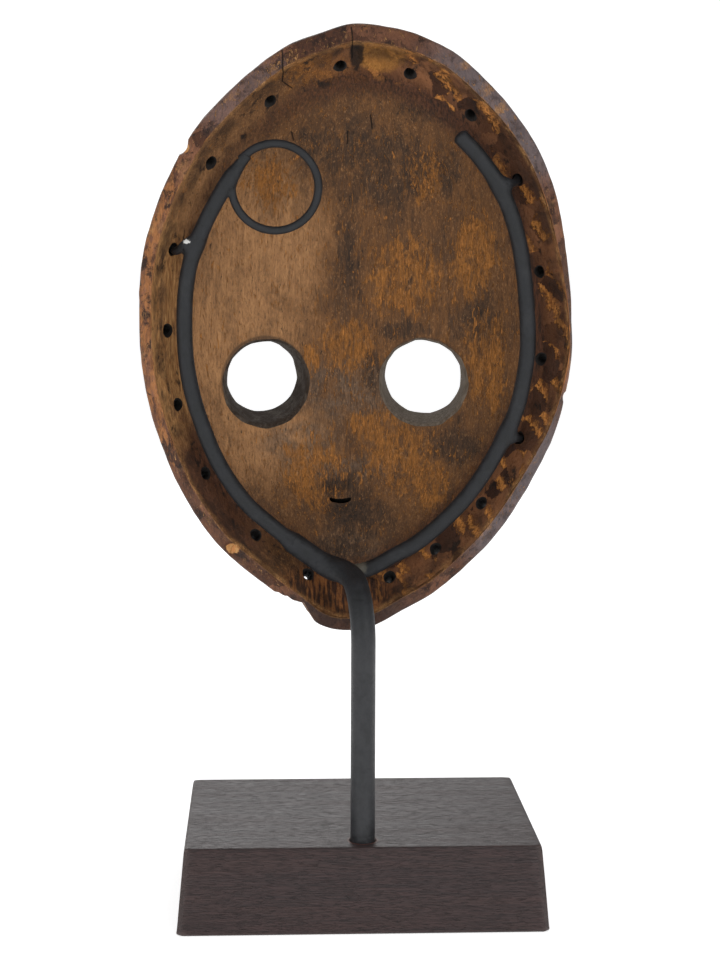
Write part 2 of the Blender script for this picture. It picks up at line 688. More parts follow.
# %% Cut the mask
skin_vertices, skin_faces = closed_skin(skin)
uncut = add_piece("uncut_mask", to_world(skin_vertices), skin_faces)
uncut.data.materials.append(CARVED_WOOD)
cut = uncut.modifiers.new("openings", "BOOLEAN")
cut.operand_type = "COLLECTION"
cut.collection = cutters
cut.solver = "EXACT"
cut.use_self = True
cut.material_mode = "TRANSFER"
graph = bpy.context.evaluated_depsgraph_get()
carved = bpy.data.meshes.new_from_object(uncut.evaluated_get(graph))
carved.name = "mask_carving"
carved.validate()
for old in (uncut, *cutters.objects):
    bpy.data.objects.remove(old)
bpy.data.collections.remove(cutters)
carved.shade_smooth()
carved.set_sharp_from_angle(angle=math.radians(42.0))
mask_carving = bpy.data.objects.new("mask_carving", carved)
bpy.context.scene.collection.objects.link(mask_carving)
carved.calc_loop_triangles()
print(f"mask carving: {len(carved.loop_triangles)} triangles,",
      ", ".join(material.name for material in carved.materials))

# %% [markdown]
# ## Marking the zones
#
# The wood is darker on the rim, redder on the wall of the hollow and bare on every edge. A material
# can find an edge with Geometry's Pointiness, but that depends on the mesh's density. Two numbers
# are stored on each point instead: how far along the profile it lies, from the hollow's middle (0)
# over the ridge (1), the outer edges (2 and 3) to the face, and how much it stands out.

# %% Profile and sharpness
def points_of(mesh):
    """The mesh's points as an array."""
    found = np.empty(len(mesh.vertices) * 3, np.float32)
    mesh.vertices.foreach_get("co", found)
    return found.reshape(-1, 3).astype(float)


def store(mesh, name, values):
    """Keep one number for each point, for materials to read."""
    made = mesh.attributes.new(name, "FLOAT", "POINT")
    made.data.foreach_set("value", np.asarray(values, np.float32))


def profile_of(points):
    """Share over ridge in the hollow, 1 to 2 over the band, 2 to 3 over the edge, then the face."""
    x, depth, z = points[:, 0], -points[:, 1], points[:, 2]
    angle, share = polar(x, z)
    ridge = ridge_share(angle)
    front = depth > (hollow_depth(x, z) + front_height(x, z)) / 2
    side = RIM_THICKNESS - RIM_CHAMFER_DEPTH
    behind = np.where(share < ridge, share / ridge, 1.0 + (share - ridge) / (1.0 - ridge))
    edge = 2.0 + (depth - RIM_CHAMFER_DEPTH) / side
    return np.where(front, 3.0 + np.clip(1.0 - share, 0.0, 1.0), np.clip(behind, 0.0, 2.0)
                    + np.clip(edge - 2.0, 0.0, 1.0) * (share > 0.985))


def sharpness_of(mesh, points, rounds):
    """How far a point stands out from its neighbours along its normal, over their distance,
    averaged with its neighbours a few times."""
    edges = np.empty(len(mesh.edges) * 2, np.int32)
    mesh.edges.foreach_get("vertices", edges)
    a, b = edges.reshape(-1, 2).T
    normals = np.empty(len(mesh.vertices) * 3, np.float32)
    mesh.vertex_normals.foreach_get("vector", normals)
    normals = normals.reshape(-1, 3)
    step = points[a] - points[b]
    length = np.maximum(np.linalg.norm(step, axis=1), 1e-9)
    count = np.bincount(np.concatenate((a, b)), minlength=len(points)) + 1e-9
    out_a = (normals[a] * step).sum(1) / length
    out_b = -(normals[b] * step).sum(1) / length
    stands = (np.bincount(a, out_a, len(points)) + np.bincount(b, out_b, len(points))) / count
    for _ in range(rounds):
        near = np.bincount(a, stands[b], len(points)) + np.bincount(b, stands[a], len(points))
        stands = 0.5 * stands + 0.5 * near / count
    return stands


carved_points = points_of(carved)
store(carved, "profile", profile_of(to_mask(carved_points)))
sharpness = sharpness_of(carved, carved_points, 2)
store(carved, "sharpness", sharpness)
print("sharpness, 5th to 99th of a hundred:", np.percentile(sharpness, (5, 50, 95, 99)).round(3))

# %% [markdown]
# ## The steel mount
#
# The mount is round bar, bent, welded and painted. A curve with a bevel gives a clean tube, but a
# weld is a soft fillet where two rods run together. So each rod is a circle carried along its path,
# and near its neighbour its points move outwards until they lie on the two rods' smooth union. That
# surface is where the lesser of the two distances, less a rounded share of their nearness, is zero.

# %% A rod along a path
ROD_COLUMNS = 28


def unit(vectors):
    """Vectors cut to length one."""
    return vectors / np.maximum(np.linalg.norm(vectors, axis=-1, keepdims=True), 1e-12)


def capped(path, radii, roundness):
    """The path with short steps added at both ends, over which the radius shrinks in a quarter of
    a circle of each end's roundness."""
    quarter = np.linspace(0.0, math.pi / 2, 6)[1:, None]
    start, end = unit(path[0] - path[1]), unit(path[-1] - path[-2])
    first, last = (min(value, 0.999 * radius) for value, radius in zip(roundness, radii[[0, -1]]))
    before = path[0] + start * first * np.sin(quarter[::-1])
    after = path[-1] + end * last * np.sin(quarter)
    before_radii = radii[0] - first * (1.0 - np.cos(quarter[::-1, 0]))
    after_radii = radii[-1] - last * (1.0 - np.cos(quarter[:, 0]))
    return np.concatenate((before, path, after)), np.concatenate((before_radii, radii, after_radii))


def rod_rows(path, radii, flat_side):
    """Circles round the path, set up square to it from one direction that it never takes."""
    along = unit(np.gradient(path, axis=0))
    side = unit(np.cross(along, flat_side))[:, None]
    other = np.cross(side, along[:, None])
    turn = np.linspace(0.0, 2 * math.pi, ROD_COLUMNS, endpoint=False)[None, :, None]
    outwards = side * np.cos(turn) + other * np.sin(turn)
    return path[:, None] + outwards * radii[:, None, None], outwards


def rod_distance(points, path, radii):
    """Distance to the nearest of the path's straight steps, less the radius there. Every third
    point of the path is enough for that, and keeps the arrays small."""
    path, radii = path[::3], radii[::3]
    start, step = path[:-1], path[1:] - path[:-1]
    apart = points[:, None] - start
    way = np.clip((apart * step).sum(-1) / (step**2).sum(-1), 0.0, 1.0)
    found = np.linalg.norm(apart - way[..., None] * step, axis=-1)
    found = found - radii[:-1] - way * (radii[1:] - radii[:-1])
    return found.min(1)


def smooth_union(one, two, reach):
    """The lesser distance, less a quarter of reach times the square of the overlap's share."""
    overlap = np.maximum(reach - np.abs(one - two), 0.0) / reach
    return np.minimum(one, two) - overlap**2 * reach / 4


def add_rod(name, path, radii, flat_side, roundness, neighbours=()):
    """A rod whose points near a neighbour are moved out to the smooth union of both."""
    long_path, long_radii = capped(path, radii, roundness)
    rows, outwards = rod_rows(long_path, long_radii, flat_side)
    shape = rows.shape
    rows, outwards = rows.reshape(-1, 3), outwards.reshape(-1, 3)
    for other_path, other_radii, reach in neighbours:
        apart = rod_distance(rows, other_path, other_radii)
        reaches = reach(rows)
        near = (apart < reaches) & (apart > -0.0004)
        moving, direction = rows[near], outwards[near]
        own = np.zeros(len(moving))
        for _ in range(6):
            other = rod_distance(moving, other_path, other_radii)
            short = -smooth_union(own, other, reaches[near])
            moving = moving + direction * short[:, None]
            own = own + short
        rows[near] = moving
    vertices, faces = closed_skin(rows.reshape(shape))
    made = add_piece(name, vertices, faces, 50.0)
    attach(made, "root")
    return made


print("a rod has", ROD_COLUMNS, "points round")

# %% The bar's, ring's, prongs' and post's paths
POST_RADIUS = 0.00475
BAR_RADIUS = 0.0031
WIRE_RADIUS = 0.00155
CRADLE_DEPTH = 0.0040
CRADLE_START = 117.0
CRADLE_END = 418.5
RING_DIAMETER = 0.0359
PRONG_REACH = 0.0045
PRONGS = ((25.3, 30.4), (135.4, 132.6), (212.3, 212.7))
POST_SETBACK = 0.0100
POST_JOINT = 272.0
JOINS_BAR = 281.0
LEAVES_BEND = 44
BEND_SHORTER = 0.0035
BLOCK_TAPER = 0.0030
WELD_BULGE = 0.00045
WELD_LENGTH = 0.0042
PRONG_LEAN = 1.6
MASK_BACK = to_world(in_mask(0.0, -1.0, 0.0)) - to_world(in_mask(0.0, 0.0, 0.0))


def bar_point(degrees):
    """The bar's middle line is the outline drawn smaller, tucked in by a bell near the ring."""
    degrees = np.asarray(degrees, float)
    share = 0.79 - 0.0125 * hill(degrees - 408.0, 20.0)
    x, z = on_outline(np.radians(degrees), share)
    return to_world(in_mask(x, CRADLE_DEPTH, z))


def bezier(a, b, c, d, steps):
    """A cubic from a to d that leaves towards b and arrives from c."""
    t = np.linspace(0.0, 1.0, steps)[:, None]
    s = 1.0 - t
    return a * s**3 + 3 * b * s * s * t + 3 * c * s * t * t + d * t**3


bar_path = bar_point(np.linspace(CRADLE_START, CRADLE_END, 420))
from_tip = np.linalg.norm(bar_path - bar_path[-1], axis=1)
bar_radii = BAR_RADIUS * (0.48 + 0.52 * ease(from_tip, -0.0010, 0.0100))
bar_radii = bar_radii + 0.00008 * soft_noise(bar_path, 0.011, 71)
for _, bar_degrees in PRONGS:
    from_weld = np.linalg.norm(bar_path - bar_point(bar_degrees), axis=1)
    bar_radii = bar_radii + WELD_BULGE * hill(from_weld, WELD_LENGTH)

ring_middle = to_world(in_mask(0.332 * HALF_WIDTH, CRADLE_DEPTH, 0.486 * HALF_HEIGHT))
ring_radius = RING_DIAMETER / 2 - WIRE_RADIUS
tip_angle = math.atan2(*(to_mask(bar_path[-1]) - to_mask(ring_middle))[[2, 0]])
ring_turn = tip_angle + np.radians(np.linspace(-6.0, 322.0, 190))
ring_flat = in_mask(np.cos(ring_turn), 0.0, np.sin(ring_turn)) @ LEANING.T
ring_path = ring_middle + ring_radius * ring_flat
buried = rod_distance(ring_path, bar_path, bar_radii)
ring_keep = (buried > -0.0012) | (np.arange(len(ring_path)) < 40)
last_kept = np.argmin(ring_keep[60:]) + 60 if not ring_keep[60:].all() else len(ring_path)
ring_path = ring_path[:last_kept]
ring_radii = np.full(len(ring_path), WIRE_RADIUS) + 0.00004 * soft_noise(ring_path, 0.006, 72)
print(f"bar: {len(bar_path)} points; ring: {len(ring_path)} points")

# %% Prongs and post
def prong_path(hole_degrees, bar_degrees):
    """From the middle of the bar, out of its side towards the perforation, and forward into it."""
    opening, direction = hole_axis(hole_degrees)
    opening, direction = to_world(opening), direction @ LEANING.T
    start = bar_point(bar_degrees)
    along = unit(bar_point(bar_degrees + 1.0) - bar_point(bar_degrees - 1.0))
    outward = unit(np.cross(MASK_BACK, along))
    outward = outward * np.sign(outward @ (opening - start))
    flat = opening - start - MASK_BACK * ((opening - start) @ MASK_BACK)
    outward = unit(outward + PRONG_LEAN * unit(flat))
    mouth = opening - direction * 0.3 * PERFORATION_BORE
    edge = start + outward * BAR_RADIUS
    pull = 0.34 * np.linalg.norm(mouth - edge)
    bend = bezier(edge, edge + outward * 0.3 * pull, mouth - direction * pull, mouth, 36)
    reach = PRONG_REACH + 0.3 * PERFORATION_BORE
    straight = mouth + direction * np.linspace(0.0, reach, 12)[1:, None]
    inside = start + outward * BAR_RADIUS * np.linspace(0.3, 1.0, 6)[:-1, None]
    return np.concatenate((inside, bend, straight)), np.cross(outward, direction)


block_low, block_high = (np.array(corner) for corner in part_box("wooden_block"))
post_low = np.array(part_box("post")[0])
socket = np.array((0.0, block_high[1] - BLOCK_TAPER - POST_SETBACK, post_low[2]))
joint = bar_point(POST_JOINT)
corner = np.array((socket[0], socket[1], joint[2]))
run = joint - corner
bend_radius = np.linalg.norm(run) - BEND_SHORTER - BAR_RADIUS
towards = unit(run)
turning = np.linspace(0.0, math.pi / 2, 60)[:, None]
lowest = corner - np.array((0.0, 0.0, bend_radius))
up = np.array((0.0, 0.0, 1.0))
bend = lowest + bend_radius * (towards * (1.0 - np.cos(turning)) + up * np.sin(turning))
upright = socket + (lowest - socket) * np.linspace(0.0, 1.0, 90)[:-1, None]
bend = bend[:LEAVES_BEND]
leaving = unit(bend[-1] - bend[-2])
lands = bar_point(JOINS_BAR)
along_bar = unit(bar_point(JOINS_BAR + 1.0) - bar_point(JOINS_BAR - 1.0))
pull = 0.42 * np.linalg.norm(lands - bend[-1])
sweep = bezier(bend[-1], bend[-1] + leaving * pull, lands - along_bar * pull, lands, 40)[1:]
inside_bar = bar_point(np.linspace(JOINS_BAR, JOINS_BAR + 6.0, 12))[1:]
post_path = np.concatenate((upright, bend, sweep, inside_bar))
to_end = np.linalg.norm(post_path - lands, axis=1) * np.sign(len(upright) + len(bend) + len(sweep)
                                                              - np.arange(len(post_path)))
post_radii = POST_RADIUS + (0.90 * BAR_RADIUS - POST_RADIUS) * ease(-to_end, -0.0130, -0.0005)
print(f"post: foot at {socket.round(4)}, joint at {joint.round(4)}")

# %% Make the steel pieces
def joint_reach(points):
    """The fillet is wide on the side where the bar was bent into the post, and narrow on the side
    where the second half of the bar was welded on."""
    return 0.0030 + 0.0022 * step_up(points[:, 0] - joint[0] - 0.001, 0.0012)


def wire_reach(points):
    """A wire's fillet is the same all round."""
    return np.full(len(points), 0.0024)


def ring_reach(points):
    """The ring runs smoothly out of the bar's tip, but its other end only abuts the bar."""
    return 0.0005 + 0.0019 * step_up(points[:, 2] - ring_middle[2], 0.0020)


prong_paths = [prong_path(*pair) for pair in PRONGS]
prong_radii = [WIRE_RADIUS * (1.0 + 0.38 * ease(-np.arange(len(path)), -30, -4))
               for path, _ in prong_paths]
bar_neighbours = [(post_path, post_radii, joint_reach), (ring_path, ring_radii, ring_reach)]
bar_neighbours += [(path[3:], radii[3:], wire_reach)
                   for (path, _), radii in zip(prong_paths, prong_radii)]
bar_piece = add_rod("cradle_bar_steel", bar_path, bar_radii, MASK_BACK, (0.0021, 0.0010),
                    bar_neighbours)
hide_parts("cradle_bar")
ring_piece = add_rod("forehead_ring_steel", ring_path, ring_radii, MASK_BACK, (0.0005, 0.0004),
                     [(bar_path, bar_radii, ring_reach)])
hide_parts("forehead_ring")
post_piece = add_rod("post_steel", post_path, post_radii, np.cross(towards, (0.0, 0.0, 1.0)),
                     (0.0005, 0.0005), [(bar_path, bar_radii, joint_reach)])
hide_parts("post")
steel_pieces = [bar_piece, ring_piece, post_piece]
for number, ((path, flat_side), radii) in enumerate(zip(prong_paths, prong_radii), 1):
    prong = add_rod(f"prong_{number}_steel", path, radii, flat_side, (0.0004, 0.0009),
                    [(bar_path, bar_radii, wire_reach)])
    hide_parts(f"prong_{number}")
    steel_pieces.append(prong)
print("steel pieces:", ", ".join(piece.name for piece in steel_pieces))

# %% [markdown]
# ## The wooden block
#
# The block is a sawn and sanded piece whose sides lean in. A cube with a Bevel would do for its
# body, but the post's socket has to sit in the top. So the block is one grid: a rounded rectangle
# is carried from the middle of the underside, round the lower edge, up the sides, over the upper
# edge, and across the top, where it shrinks into the circle of the socket.

# %% Make the block
BLOCK_ROUNDING = 0.0011
BLOCK_CORNER = 0.0014
BLOCK_COLUMNS = 240
BLOCK_MIDDLE = (block_low + block_high) / 2
BLOCK_HALF = (block_high - block_low) / 2
SOCKET_RADIUS = POST_RADIUS + 0.0003


def rounded_rectangle(half_x, half_y, corner):
    """Points round a rectangle whose corners are quarter circles: each direction's point lies on
    the straight sides' box, moved in to the corner's circle where it would stand outside it."""
    turn = np.linspace(0.0, 2 * math.pi, BLOCK_COLUMNS, endpoint=False)
    cosine, sine = np.cos(turn), np.sin(turn)
    scale = 1.0 / np.maximum(np.abs(cosine) / half_x, np.abs(sine) / half_y)
    x, y = cosine * scale, sine * scale
    core_x = np.clip(x, corner - half_x, half_x - corner)
    core_y = np.clip(y, corner - half_y, half_y - corner)
    away = np.maximum(np.hypot(x - core_x, y - core_y), 1e-9)
    shrink = np.minimum(corner / away, 1.0)
    return np.stack((core_x + (x - core_x) * shrink, core_y + (y - core_y) * shrink), -1)


def block_rows():
    """Rows of (inset from the foot's outline, height), then the top's way into the socket."""
    height = block_high[2]
    quarter = np.linspace(0.0, math.pi / 2, 6)
    low = [(BLOCK_ROUNDING * (1 - math.sin(t)), BLOCK_ROUNDING * (1 - math.cos(t)))
           for t in quarter]
    climb = np.linspace(0.06, 0.94, 12)
    side = [(BLOCK_TAPER * t, height * t) for t in climb]
    high = [(BLOCK_TAPER + BLOCK_ROUNDING * (1 - math.cos(t)),
             height - BLOCK_ROUNDING * (1 - math.sin(t))) for t in quarter]
    rows = []
    for share in (0.15, 0.5, 0.85):
        loop = rounded_rectangle(*(BLOCK_HALF[:2] * share), BLOCK_CORNER)
        rows.append(np.insert(loop, 2, 0.0, axis=1))
    for inset, level in (*low, *side, *high):
        loop = rounded_rectangle(*(BLOCK_HALF[:2] - inset), BLOCK_CORNER)
        rows.append(np.insert(loop, 2, level, axis=1))
    top = rows[-1][:, :2]
    centre = socket[:2] - BLOCK_MIDDLE[:2]
    direction = np.arctan2(*(top - centre).T[::-1])
    circle = np.stack((np.cos(direction), np.sin(direction)), -1)
    for way in np.linspace(0.0, 1.0, 22)[1:]:
        ring = centre + circle * (SOCKET_RADIUS + 0.0004)
        rows.append(np.insert(top + (ring - top) * way, 2, height, axis=1))
    for depth in (0.0004, 0.004, 0.012, height - post_low[2] + 0.0003):
        rows.append(np.insert(centre + circle * SOCKET_RADIUS, 2, height - depth, axis=1))
    return np.array(rows) + (*BLOCK_MIDDLE[:2], 0.0)


block = block_rows()
uneven = np.minimum(0.00022 * soft_noise(block, 0.030, 81) - 0.0001, 0.0)
uneven = uneven * ease(block[..., 2], 0.001, 0.006) * ease(np.abs(block[..., 1]), 0.046, 0.052)
block = block + np.stack((0 * uneven, np.sign(block[..., 1]) * uneven, 0 * uneven), -1)
block_piece = add_piece("wooden_block_finish", *closed_skin(block[:, ::-1]), 30.0)
block_points = points_of(block_piece.data)
store(block_piece.data, "sharpness", sharpness_of(block_piece.data, block_points, 1))
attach(block_piece, "root")
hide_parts("wooden_block")
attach(mask_carving, "root")
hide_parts("carved_mask")
print("block:", (1000 * (block_high - block_low)).round(1), "mm")

# %% [markdown]
# ## A short way to write nodes
#
# Materials are node trees. Written out in full, each node needs a line for its kind, one for each
# setting and one for each link. Two small classes keep that to one line a node: one adds nodes, and
# the other lets their values be added and multiplied with the usual signs. So a finish can be read
# from top to bottom as a list of layers.

# %% The node helper
class Value:
    """A number, vector or colour on its way through a node tree. A sum, difference, product or
    quotient of values adds the math node that works it out."""

    def __init__(self, nodes, socket):
        self.nodes = nodes
        self.socket = socket

    def work_out(self, operation, one, two):
        maths = self.nodes.vector if self.socket.type == "VECTOR" else self.nodes.math
        return maths(operation, one, two)

    def __add__(self, other):
        return self.work_out("ADD", self, other)

    def __radd__(self, other):
        return self.work_out("ADD", other, self)

    def __sub__(self, other):
        return self.work_out("SUBTRACT", self, other)

    def __rsub__(self, other):
        return self.work_out("SUBTRACT", other, self)

    def __mul__(self, other):
        return self.work_out("MULTIPLY", self, other)

    def __truediv__(self, other):
        return self.work_out("DIVIDE", self, other)


class Nodes:
    """One node tree, with a short method for each kind of node that the finishes use."""

    def __init__(self, tree):
        self.tree = tree

    def feed(self, socket, value):
        """Link a value into a socket, or set the socket where the value is a plain number."""
        source = value.socket if isinstance(value, Value) else value
        if isinstance(source, bpy.types.NodeSocket):
            self.tree.links.new(source, socket)
        else:
            socket.default_value = source

    def add(self, kind, inputs=None, **settings):
        made = self.tree.nodes.new(kind)
        for name, value in settings.items():
            setattr(made, name, value)
        for name, value in (inputs or {}).items():
            self.feed(made.inputs[name], value)
        return made

    def value(self, made, output=0):
        return Value(self, made.outputs[output])

    def math(self, operation, *values, clamp=False):
        inputs = dict(enumerate(values))
        return self.value(self.add("ShaderNodeMath", inputs, operation=operation, use_clamp=clamp))

    def vector(self, operation, *values):
        made = self.add("ShaderNodeVectorMath", dict(enumerate(values)), operation=operation)
        return self.value(made, "Value" if operation in ("LENGTH", "DOT_PRODUCT") else "Vector")

    def join(self, x, y, z):
        return self.value(self.add("ShaderNodeCombineXYZ", {"X": x, "Y": y, "Z": z}))

    def even(self, size):
        """The same number along every axis."""
        return self.join(size, size, size)

    def axis(self, vector, name):
        return self.value(self.add("ShaderNodeSeparateXYZ", {"Vector": vector}), name)

    def remap(self, value, low, high, start=0.0, end=1.0):
        """From start to end as value goes from low to high, along the ease curve."""
        inputs = {"Value": value, "From Min": low, "From Max": high, "To Min": start, "To Max": end}
        made = self.add("ShaderNodeMapRange", inputs, interpolation_type="SMOOTHSTEP")
        return self.value(made, "Result")

    def mix(self, share, one, two):
        """Colour one where share is 0 and colour two where it is 1."""
        colours = [(*value, 1.0) if isinstance(value, tuple) else value for value in (one, two)]
        inputs = {0: share, 6: colours[0], 7: colours[1]}
        return self.value(self.add("ShaderNodeMix", inputs, data_type="RGBA"), 2)

    def noise(self, vector, scale=1.0, detail=3.0, roughness=0.55, distortion=0.0):
        inputs = {"Vector": vector, "Scale": scale, "Detail": detail, "Roughness": roughness,
                  "Distortion": distortion}
        return self.value(self.add("ShaderNodeTexNoise", inputs))

    def grained(self, place, size, detail, roughness):
        """Noise whose lumps have the same size in every direction."""
        return self.noise(place / self.even(size), 1.0, detail, roughness)

    def attribute(self, name):
        return self.value(self.add("ShaderNodeAttribute", attribute_name=name), "Fac")

    def object_place(self):
        return self.value(self.add("ShaderNodeTexCoord"), "Object")

    def group(self, group, inputs):
        """A node group's outputs by their names."""
        made = self.add("ShaderNodeGroup", inputs, node_tree=group)
        return {socket.name: Value(self, socket) for socket in made.outputs}


def new_group(name, inputs, outputs):
    """A node group with named sockets. Gives its nodes, its inputs, and what ends it."""
    tree = bpy.data.node_groups.new(name, "ShaderNodeTree")
    for title, default in inputs.items():
        kind = "NodeSocketVector" if isinstance(default, tuple) else "NodeSocketFloat"
        socket = tree.interface.new_socket(title, in_out="INPUT", socket_type=kind)
        socket.default_value = default
    for title in outputs:
        tree.interface.new_socket(title, in_out="OUTPUT", socket_type="NodeSocketFloat")
    nodes = Nodes(tree)
    entry = nodes.add("NodeGroupInput")
    given = {title: nodes.value(entry, title) for title in inputs}
    return tree, nodes, given, nodes.add("NodeGroupOutput").inputs


print("node helper ready")

# %% [markdown]
# ## Effects that several finishes share
#
# Fibres, mottling, spots, cracks, worn edges, specks and chip carving come back in several layers
# or materials. Each is a node group with its own inputs, built once. They give out masks, tones and
# heights only, and each material decides on the colour.

# %% Fibres and mottling
FIBRES, nodes, given, result = new_group(
    "Fibres", {"Place": (0.0, 0.0, 0.0), "Width": 0.001, "Length": 0.012, "Sway": 0.5}, ["Mask"])
size = nodes.join(given["Width"], given["Width"], given["Length"])
streak = nodes.noise(given["Place"] / size, 1.0, 4.0, 0.62, given["Sway"])
nodes.feed(result["Mask"], nodes.remap(streak, 0.3, 0.7))

MOTTLE, nodes, given, result = new_group(
    "Mottle", {"Place": (0.0, 0.0, 0.0), "Size": 0.010, "Amount": 0.5, "Edge": 0.12}, ["Mask"])
cloud = nodes.noise(given["Place"] / nodes.even(given["Size"]), 1.0, 6.0, 0.68, 0.40)
level = nodes.remap(given["Amount"], 0.0, 1.0, 0.75, 0.25)
start = level - given["Edge"]
end = level + given["Edge"]
nodes.feed(result["Mask"], nodes.remap(cloud, start, end))
print("groups:", FIBRES.name, MOTTLE.name)

# %% Spots and cracks
SPOT, nodes, given, result = new_group(
    "Spot", {"Place": (0.0, 0.0, 0.0), "Middle": (0.0, 0.0, 0.0), "Size": (0.01, 1.0, 0.01),
             "Raggedness": 0.6, "Grain": 0.004, "Softness": 0.25}, ["Mask"])
apart = given["Place"] - given["Middle"]
away = nodes.vector("LENGTH", apart / given["Size"])
ragged = nodes.grained(given["Place"], given["Grain"], 4.0, 0.6)
shift = (ragged - 0.5) * given["Raggedness"]
edge = away + shift
inner = 1.0 - given["Softness"]
outer = 1.0 + given["Softness"]
nodes.feed(result["Mask"], 1.0 - nodes.remap(edge, inner, outer))

CRACK, nodes, given, result = new_group(
    "Crack", {"Place": (0.0, 0.0, 0.0), "Start": (0.0, 0.0, 0.0), "End": (0.0, 0.0, 0.01),
              "Width": 0.0004, "Wander": 0.0008}, ["Mask"])
sway = nodes.noise(given["Place"], 260.0, 2.0)
moved = (sway - 0.5) * given["Wander"]
flat = given["Place"] * (1.0, 0.0, 1.0)
swayed = flat + nodes.join(moved, 0.0, moved)
run_vector = given["End"] - given["Start"]
from_start = swayed - given["Start"]
square = nodes.vector("DOT_PRODUCT", run_vector, run_vector)
along = nodes.math("DIVIDE", nodes.vector("DOT_PRODUCT", from_start, run_vector), square,
                   clamp=True)
off = nodes.vector("LENGTH", from_start - run_vector * nodes.even(along))
nodes.feed(result["Mask"], 1.0 - nodes.remap(off, 0.0, given["Width"]))
print("groups:", SPOT.name, CRACK.name)

# %% Worn edges and specks
WORN, nodes, given, result = new_group(
    "Worn edges", {"Place": (0.0, 0.0, 0.0), "Sharpness": 0.0, "Amount": 0.5, "Grain": 0.004},
    ["Mask"])
broken = nodes.grained(given["Place"], given["Grain"], 5.0, 0.65)
uneven = (broken - 0.5) * 1.6
height = given["Sharpness"] + uneven + given["Amount"]
nodes.feed(result["Mask"], nodes.remap(height, 0.85, 1.15))

SPECKS, nodes, given, result = new_group(
    "Specks", {"Place": (0.0, 0.0, 0.0), "Spacing": 0.010, "Size": 0.06, "Share": 0.4}, ["Mask"])
spaced = given["Place"] / nodes.even(given["Spacing"])
cells = nodes.add("ShaderNodeTexVoronoi", {"Vector": spaced, "Scale": 1.0})
chance = nodes.axis(cells.outputs["Color"], "X")
chosen = nodes.math("LESS_THAN", chance, given["Share"])
inside = 1.0 - nodes.remap(cells.outputs["Distance"], 0.0, given["Size"])
nodes.feed(result["Mask"], chosen * inside)

CHIPPING, nodes, given, result = new_group(
    "Chip carving",
    {"Place": (0.0, 0.0, 0.0), "Size": 0.009, "Towards": (-0.8, 0.0, 0.4), "Torn": 0.5},
    ["Torn edges", "Tone", "Height"])
scaled = given["Place"] / nodes.even(given["Size"])
ragged = nodes.noise(scaled, 3.0, 7.0, 0.72)
fringe = nodes.noise(scaled, 7.0, 5.0, 0.70)
bent = scaled + nodes.join(ragged, fringe, ragged) * (0.5, 0.3, -0.5)
cells = nodes.add("ShaderNodeTexVoronoi", {"Vector": bent, "Scale": 1.0})
from_middle = bent - cells.outputs["Position"]
reach = nodes.vector("DOT_PRODUCT", from_middle, given["Towards"])
chance = nodes.axis(cells.outputs["Color"], "X")
limit = 0.75 - given["Torn"] * nodes.remap(chance, 0.2, 0.9)
over = reach + fringe * 0.5 - limit
crescent = nodes.remap(over, -0.02, 0.05) * nodes.remap(over, 0.42, 0.16)
nodes.feed(result["Torn edges"], crescent)
nodes.feed(result["Tone"], nodes.axis(cells.outputs["Color"], "Y"))
slope = reach * 0.6 - cells.outputs["Distance"]
nodes.feed(result["Height"], slope)
print("groups:", WORN.name, SPECKS.name, CHIPPING.name)

# %% [markdown]
# ## Old carved wood
#
# Inside, the wood was never finished. It is a warm brown with upright fibres, orange where the
# surface has flaked, dark where hands and smoke have blackened it. The wall of the hollow is
# darker and red, the rim is nearly black-brown with a grey bloom, and every edge is worn to bare
# ochre. Each of these is one layer: a mask and a colour, one on top of the other. Marks that a
# viewer would recognise, such as a dark patch or a crack, are placed by hand with the Spot and
# Crack groups.

# %% Colours of the wood
BROWN = ((0.062, 0.029, 0.013), (0.195, 0.088, 0.032))
PALE_BROWN = ((0.190, 0.091, 0.038), (0.480, 0.248, 0.106))
GREY_BROWN = ((0.060, 0.040, 0.028), (0.165, 0.110, 0.074))
ORANGE = ((0.125, 0.049, 0.014), (0.400, 0.158, 0.030))
DARK_BROWN = ((0.014, 0.010, 0.008), (0.060, 0.036, 0.023))
MAROON = ((0.020, 0.009, 0.006), (0.100, 0.037, 0.018))
BRIGHT_ORANGE = (0.500, 0.200, 0.046)
RIM_ORANGE = ((0.130, 0.046, 0.016), (0.500, 0.205, 0.066))
GREY_BLOOM = ((0.075, 0.056, 0.058), (0.190, 0.150, 0.150))
OCHRE = ((0.230, 0.095, 0.030), (0.560, 0.300, 0.115))
PATINA = ((0.014, 0.009, 0.007), (0.085, 0.043, 0.025))
RED_WALL = ((0.032, 0.014, 0.009), (0.160, 0.062, 0.030))
FACETS = ((0.022, 0.010, 0.008), (0.300, 0.125, 0.052))
TORN_ORANGE = ((0.200, 0.068, 0.018), (0.780, 0.320, 0.075))
APEX_ORANGE = ((0.140, 0.054, 0.012), (0.520, 0.230, 0.055))
CHIN_STREAKS = ((0.030, 0.014, 0.010), (0.280, 0.105, 0.032))
RIM_FACETS = ((0.100, 0.042, 0.024), (0.420, 0.180, 0.092))
RIM_CHIN = ((0.020, 0.011, 0.009), (0.085, 0.046, 0.034))
FRESH_CHIP = (RIM_ORANGE[1], (0.560, 0.310, 0.120))
BARE_STRANDS = (RIM_ORANGE[0], OCHRE[1])
POLISHED = (0.185, 0.088, 0.040)
INK = (0.010, 0.008, 0.007)


def mask_place(nodes):
    """Object coordinates turned back into the mask's own frame."""
    inputs = {"Vector": nodes.object_place(), "Location": tuple(MASK_PLACE),
              "Rotation": (-MASK_LEAN, 0.0, 0.0)}
    return nodes.value(nodes.add("ShaderNodeMapping", inputs, vector_type="TEXTURE"))


def flat_metres(point, depth=0.0):
    """(x, z) in millimetres as a vector in metres."""
    return (point[0] / 1000, depth, point[1] / 1000)


